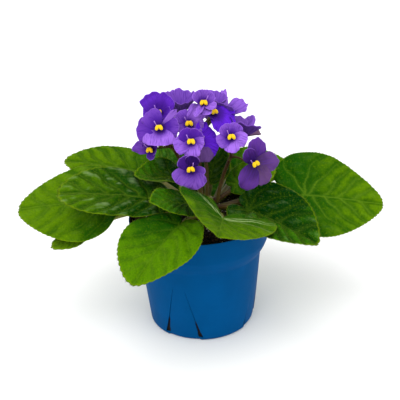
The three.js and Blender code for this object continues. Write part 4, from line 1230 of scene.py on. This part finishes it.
class VIOLET_OT_mix(bpy.types.Operator):
    """Make the potting mix: a mound of peat with crumbs, bark and perlite on it"""

    bl_idname = "violet.mix"
    bl_label = "Potting mix"

    def execute(self, context):
        sizes, colours = context.scene.violet_sizes, context.scene.violet_colours
        random = np.random.default_rng(31)
        inset = POT["wall"] + GAP
        side = [(radius - inset, height) for radius, height in wall_line()[:-1]]
        side[0] = (side[0][0], POT["floor"] + GAP)
        top_radius = POT["collar"] - inset
        rings = np.linspace(top_radius, 0.8, 44)
        tops = [(radius, self.level(radius)) for radius in rings]
        profile = [(0, POT["floor"] + GAP), *side, *tops, (0, MIX["centre_height"])]
        phases = random.uniform(0, 6.28, 6)

        def lumps(radius, height, angle):
            x, y = radius * np.cos(angle), radius * np.sin(angle)
            rise = (np.sin(x * 0.9 + phases[0]) * np.sin(y * 0.8 + phases[1]) * 0.5
                    + np.sin(x * 2.1 + y * 1.3 + phases[2]) * 0.25 + np.sin(y * 2.9 - x + phases[3]) * 0.2)
            crumb = np.minimum(1, cell_pattern(x, y, 2.2, 5.0) / 0.5) * 0.5
            open_top = (height > POT["collar_foot"] + 1) * np.clip((top_radius - radius) / 1.5, 0, 1)
            return radius, height + (rise + crumb - 0.5) * open_top

        shape = Shape()
        lathe_mesh(shape, profile, 160, 0, lumps, kind=0.0)
        self.crumbs(shape, random, sizes.crumb / MM, top_radius)
        shape.build("potting_mix_heap", (peat_finish(colours),), "potting_mix")
        return {"FINISHED"}

    def level(self, radius):
        """Height of the mix at a distance from its middle."""
        return float(np.interp(radius, (MIX["centre"], MIX["mound"], POT["collar"] - POT["wall"] - GAP),
                               (MIX["centre_height"], MIX["mound_height"], MIX["edge"])))

    def crumbs(self, shape, random, size, top_radius):
        """Uneven twenty-sided crumbs, scattered over the top and turned at random."""
        long = (1 + math.sqrt(5)) / 2
        ball = unit([(-1, long, 0), (1, long, 0), (-1, -long, 0), (1, -long, 0), (0, -1, long), (0, 1, long),
                     (0, -1, -long), (0, 1, -long), (long, 0, -1), (long, 0, 1), (-long, 0, -1),
                     (-long, 0, 1)])
        faces = np.array([(0, 11, 5), (0, 5, 1), (0, 1, 7), (0, 7, 10), (0, 10, 11), (1, 5, 9), (5, 11, 4),
                          (11, 10, 2), (10, 7, 6), (7, 1, 8), (3, 9, 4), (3, 4, 2), (3, 2, 6), (3, 6, 8),
                          (3, 8, 9), (4, 9, 5), (2, 4, 11), (6, 2, 10), (8, 6, 7), (9, 8, 1)])
        for _ in range(CRUMBS):
            radius = (top_radius - 1.2) * math.sqrt(random.uniform(0, 1))
            angle = random.uniform(0, 2 * math.pi)
            kind = int(random.choice(len(CRUMB_SHAPES), p=CRUMB_SHARES))
            stretch = np.array(CRUMB_SHAPES[kind]) * size * random.uniform(0.35, 1.0)
            turn = np.array(Matrix.Rotation(random.uniform(0, 6.28), 3, Vector(unit(random.normal(size=3)))))
            points = (ball * stretch * random.uniform(0.75, 1.2, (12, 1))) @ turn.T
            height = self.level(radius) + stretch[2] * 0.3
            points = points + (radius * math.cos(angle), radius * math.sin(angle), height)
            shape.add(points, [faces], 0, kind=float(kind))


class VIOLET_OT_pot(bpy.types.Operator):
    """Make the nursery pot: a tapered shell with a stepped collar, slit tongues and drain holes"""

    bl_idname = "violet.pot"
    bl_label = "Nursery pot"

    def execute(self, context):
        colours = context.scene.violet_colours
        outer = [(0, 0), (POT["foot"] - POT["foot_height"], 0), *wall_line()]
        inner = [(radius - POT["wall"], height) for radius, height in wall_line()][::-1]
        inner[-1] = (inner[-1][0], POT["floor"])
        outside = rounded([*outer[1:], (POT["rim"] - POT["wall"] / 2, POT["height"])], 1.4)
        inside = rounded([(POT["rim"] - POT["wall"] / 2, POT["height"]), *inner], 1.6)
        profile = [outer[0], *outside, *inside[1:], (0, POT["floor"])]
        rows = [profile[0]]
        for before, after in zip(profile[1:], profile[2:-1]):
            step = np.subtract(after, before)
            count = max(1, int(np.hypot(*step) / 4))
            rows += [before + step * k / count for k in range(count)]
        rows += [profile[-2], profile[-1]]
        shape = Shape()
        soiled = np.array([1.0 if radius < self.wall_at(height) - 0.7 and height > 40 else 0.0
                           for radius, height in rows[1:-1]])
        sides = 216
        soiled = np.append(np.repeat(soiled, sides), [0, 0])
        lathe_mesh(shape, rows, sides, 0, self.lean_in, soiled=soiled)
        pot = shape.build("nursery_pot_shell", (plastic_finish(colours),), "nursery_pot")
        cutter = self.cutters()
        cut = pot.modifiers.new("slits", "BOOLEAN")
        cut.operation, cut.solver, cut.object = "DIFFERENCE", "EXACT", cutter
        bpy.context.view_layer.update()
        whole = bpy.data.meshes.new_from_object(pot.evaluated_get(context.evaluated_depsgraph_get()))
        pot.modifiers.clear()
        pot.data = whole
        bpy.data.objects.remove(cutter)
        whole.shade_smooth()
        whole.set_sharp_from_angle(angle=math.radians(40))
        return {"FINISHED"}

    def wall_at(self, height):
        line = np.array(wall_line())
        return float(np.interp(height, line[:, 1], line[:, 0]))

    def lean_in(self, radius, height, angle):
        """Presses the tongue between two slits in a little at its foot."""
        far = np.full(angle.shape, 9.0)
        for tab in range(TAB["count"]):
            off = angle - math.radians(TAB["first"] + 360 * tab / TAB["count"])
            far = np.minimum(far, np.abs((off + math.pi) % (2 * math.pi) - math.pi))
        share = np.clip((TAB["height"] - height) / (TAB["height"] - TAB["land"]), 0, 1)
        edge = np.radians(TAB["top_half_angle"] + (TAB["foot_half_angle"] - TAB["top_half_angle"]) * share)
        inside = np.clip((edge - far) / 0.02, 0, 1) * (radius > POT["foot"] - 4)
        return radius - TONGUE_LEAN * share ** 1.5 * inside, height

    def cutters(self):
        """Stepped slanting wedges for the slits and round bars for the drain holes."""
        shape = Shape()
        for tab in range(TAB["count"]):
            for lean in (-1, 1):
                turn = math.radians(TAB["first"] + 360 * tab / TAB["count"])
                top = lean * POT["foot"] * math.radians(TAB["top_half_angle"])
                foot = lean * POT["foot"] * math.radians(TAB["foot_half_angle"])
                slope = (foot - top) / (TAB["height"] - TAB["land"])
                before, behind = (0.5, 0.3) if lean > 0 else (0.3, 0.5)
                middles = [top + slope * (TAB["height"] - level) for level, _ in SLIT_WIDTHS]
                left = [(x - width * before, level) for x, (level, width) in zip(middles, SLIT_WIDTHS)]
                right = [(x + width * behind, level) for x, (level, width) in zip(middles, SLIT_WIDTHS)]
                ring = left + right[::-1]
                out = np.array([math.cos(turn), math.sin(turn), 0])
                aside = np.array([-math.sin(turn), math.cos(turn), 0])
                points = [out * far + aside * x + np.array([0, 0, z]) for far in (30, 56) for x, z in ring]
                n = len(ring)
                here, after = np.arange(n), (np.arange(n) + 1) % n
                shape.add(points, [np.stack([here, after, after + n, here + n], 1), [np.arange(n)[::-1]],
                                   [np.arange(n) + n]])
        for hole in range(DRAIN["count"]):
            turn = 2 * math.pi * (hole + 0.5) / DRAIN["count"]
            x, y = DRAIN["circle"] * math.cos(turn), DRAIN["circle"] * math.sin(turn)
            tube(shape, [(x, y, -3), (x, y, 3)], DRAIN["radius"], 32)
        mesh = bpy.data.meshes.new("slit_cutters")
        corners, sizes = np.concatenate(shape.corners), np.concatenate(shape.sizes)
        starts = np.cumsum(sizes) - sizes
        faces = [corners[a:a + n].tolist() for a, n in zip(starts, sizes)]
        mesh.from_pydata((np.concatenate(shape.points) * MM).tolist(), [], faces)
        mesh.validate()
        cutter = bpy.data.objects.new("slit_cutters", mesh)
        bpy.context.scene.collection.objects.link(cutter)
        return cutter


# ---------------------------------------------------------------- stage


class VIOLET_OT_stage(bpy.types.Operator):
    """Make the plain pale floor, the soft studio light and the camera"""

    bl_idname = "violet.stage"
    bl_label = "Stage"

    def execute(self, context):
        scene = context.scene
        colours = scene.violet_colours
        mesh = bpy.data.meshes.new("floor")
        size = FLOOR["half_size"]
        corners = [(-size, -size, 0), (size, -size, 0), (size, size, 0), (-size, size, 0)]
        mesh.from_pydata(corners, [], [(0, 1, 2, 3)])
        mesh.materials.append(floor_finish(colours))
        floor = bpy.data.objects.new("floor", mesh)
        floor.location.z = -FLOOR["below"]
        scene.collection.objects.link(floor)
        world = bpy.data.worlds.new("studio")
        world.use_nodes = True
        world.node_tree.nodes["Background"].inputs["Color"].default_value = (1, 1, 1, 1)
        world.node_tree.nodes["Background"].inputs["Strength"].default_value = 1.0
        scene.world = world
        for name, (strength, angle, come_from) in LAMPS.items():
            self.lamp(name, strength, angle, come_from)
        scene.view_settings.view_transform = "Standard"
        self.camera(scene)
        return {"FINISHED"}

    def lamp(self, name, strength, angle, come_from):
        """A broad light without falloff, as from a large softbox."""
        data = bpy.data.lights.new(name, "SUN")
        data.energy, data.angle = strength, math.radians(angle)
        lamp = bpy.data.objects.new(name, data)
        lamp.rotation_mode = "QUATERNION"
        lamp.rotation_quaternion = Vector(come_from).to_track_quat("Z", "Y")
        bpy.context.scene.collection.objects.link(lamp)

    def camera(self, scene):
        """The photograph's view: just above the plant's height, looking down at it."""
        pitch, yaw, roll = (math.radians(CAMERA[name]) for name in ("pitch", "yaw", "roll"))
        ahead = Vector((math.sin(yaw) * math.cos(pitch), math.cos(yaw) * math.cos(pitch), -math.sin(pitch)))
        right = Vector((math.cos(yaw), -math.sin(yaw), 0))
        up = right.cross(ahead)
        right, up = (math.cos(roll) * right + math.sin(roll) * up,
                     math.cos(roll) * up - math.sin(roll) * right)
        data = bpy.data.cameras.new("photo_camera")
        data.sensor_width = CAMERA["sensor"]
        data.lens = CAMERA["sensor"] * CAMERA["focal_pixels"] / CAMERA["picture_pixels"]
        data.clip_start, data.clip_end = 0.01, 50.0
        camera = bpy.data.objects.new("photo_camera", data)
        turn = Matrix((right, up, -ahead)).transposed()
        camera.matrix_world = Matrix.Translation(CAMERA["place"]) @ turn.to_4x4()
        scene.collection.objects.link(camera)
        scene.camera = camera


class VIOLET_PT_panel(bpy.types.Panel):
    """Lists the plant's pieces in the sidebar"""

    bl_idname = "VIOLET_PT_panel"
    bl_label = "African violet"
    bl_space_type = "VIEW_3D"
    bl_region_type = "UI"
    bl_category = "African violet"

    def draw(self, context):
        for operator in OPERATORS:
            self.layout.operator(operator.bl_idname)
        for group in (context.scene.violet_sizes, context.scene.violet_colours):
            box = self.layout.box()
            for name in group.__annotations__:
                box.prop(group, name)


OPERATORS = (VIOLET_OT_stage, VIOLET_OT_pot, VIOLET_OT_mix, VIOLET_OT_crown, VIOLET_OT_leaves,
             VIOLET_OT_flower_stalks, VIOLET_OT_petals, VIOLET_OT_stamens)
GROUPS = (VioletSizes, VioletColours)


def register():
    for each in (*GROUPS, *OPERATORS, VIOLET_PT_panel):
        bpy.utils.register_class(each)
    bpy.types.Scene.violet_sizes = bpy.props.PointerProperty(type=VioletSizes)
    bpy.types.Scene.violet_colours = bpy.props.PointerProperty(type=VioletColours)


def unregister():
    del bpy.types.Scene.violet_sizes
    del bpy.types.Scene.violet_colours
    for each in reversed((*GROUPS, *OPERATORS, VIOLET_PT_panel)):
        bpy.utils.unregister_class(each)


def main():
    register()
    for operator in OPERATORS:
        group, name = operator.bl_idname.split(".")
        getattr(getattr(bpy.ops, group), name)()
    bpy.context.view_layer.update()


if __name__ == "__main__":
    main()
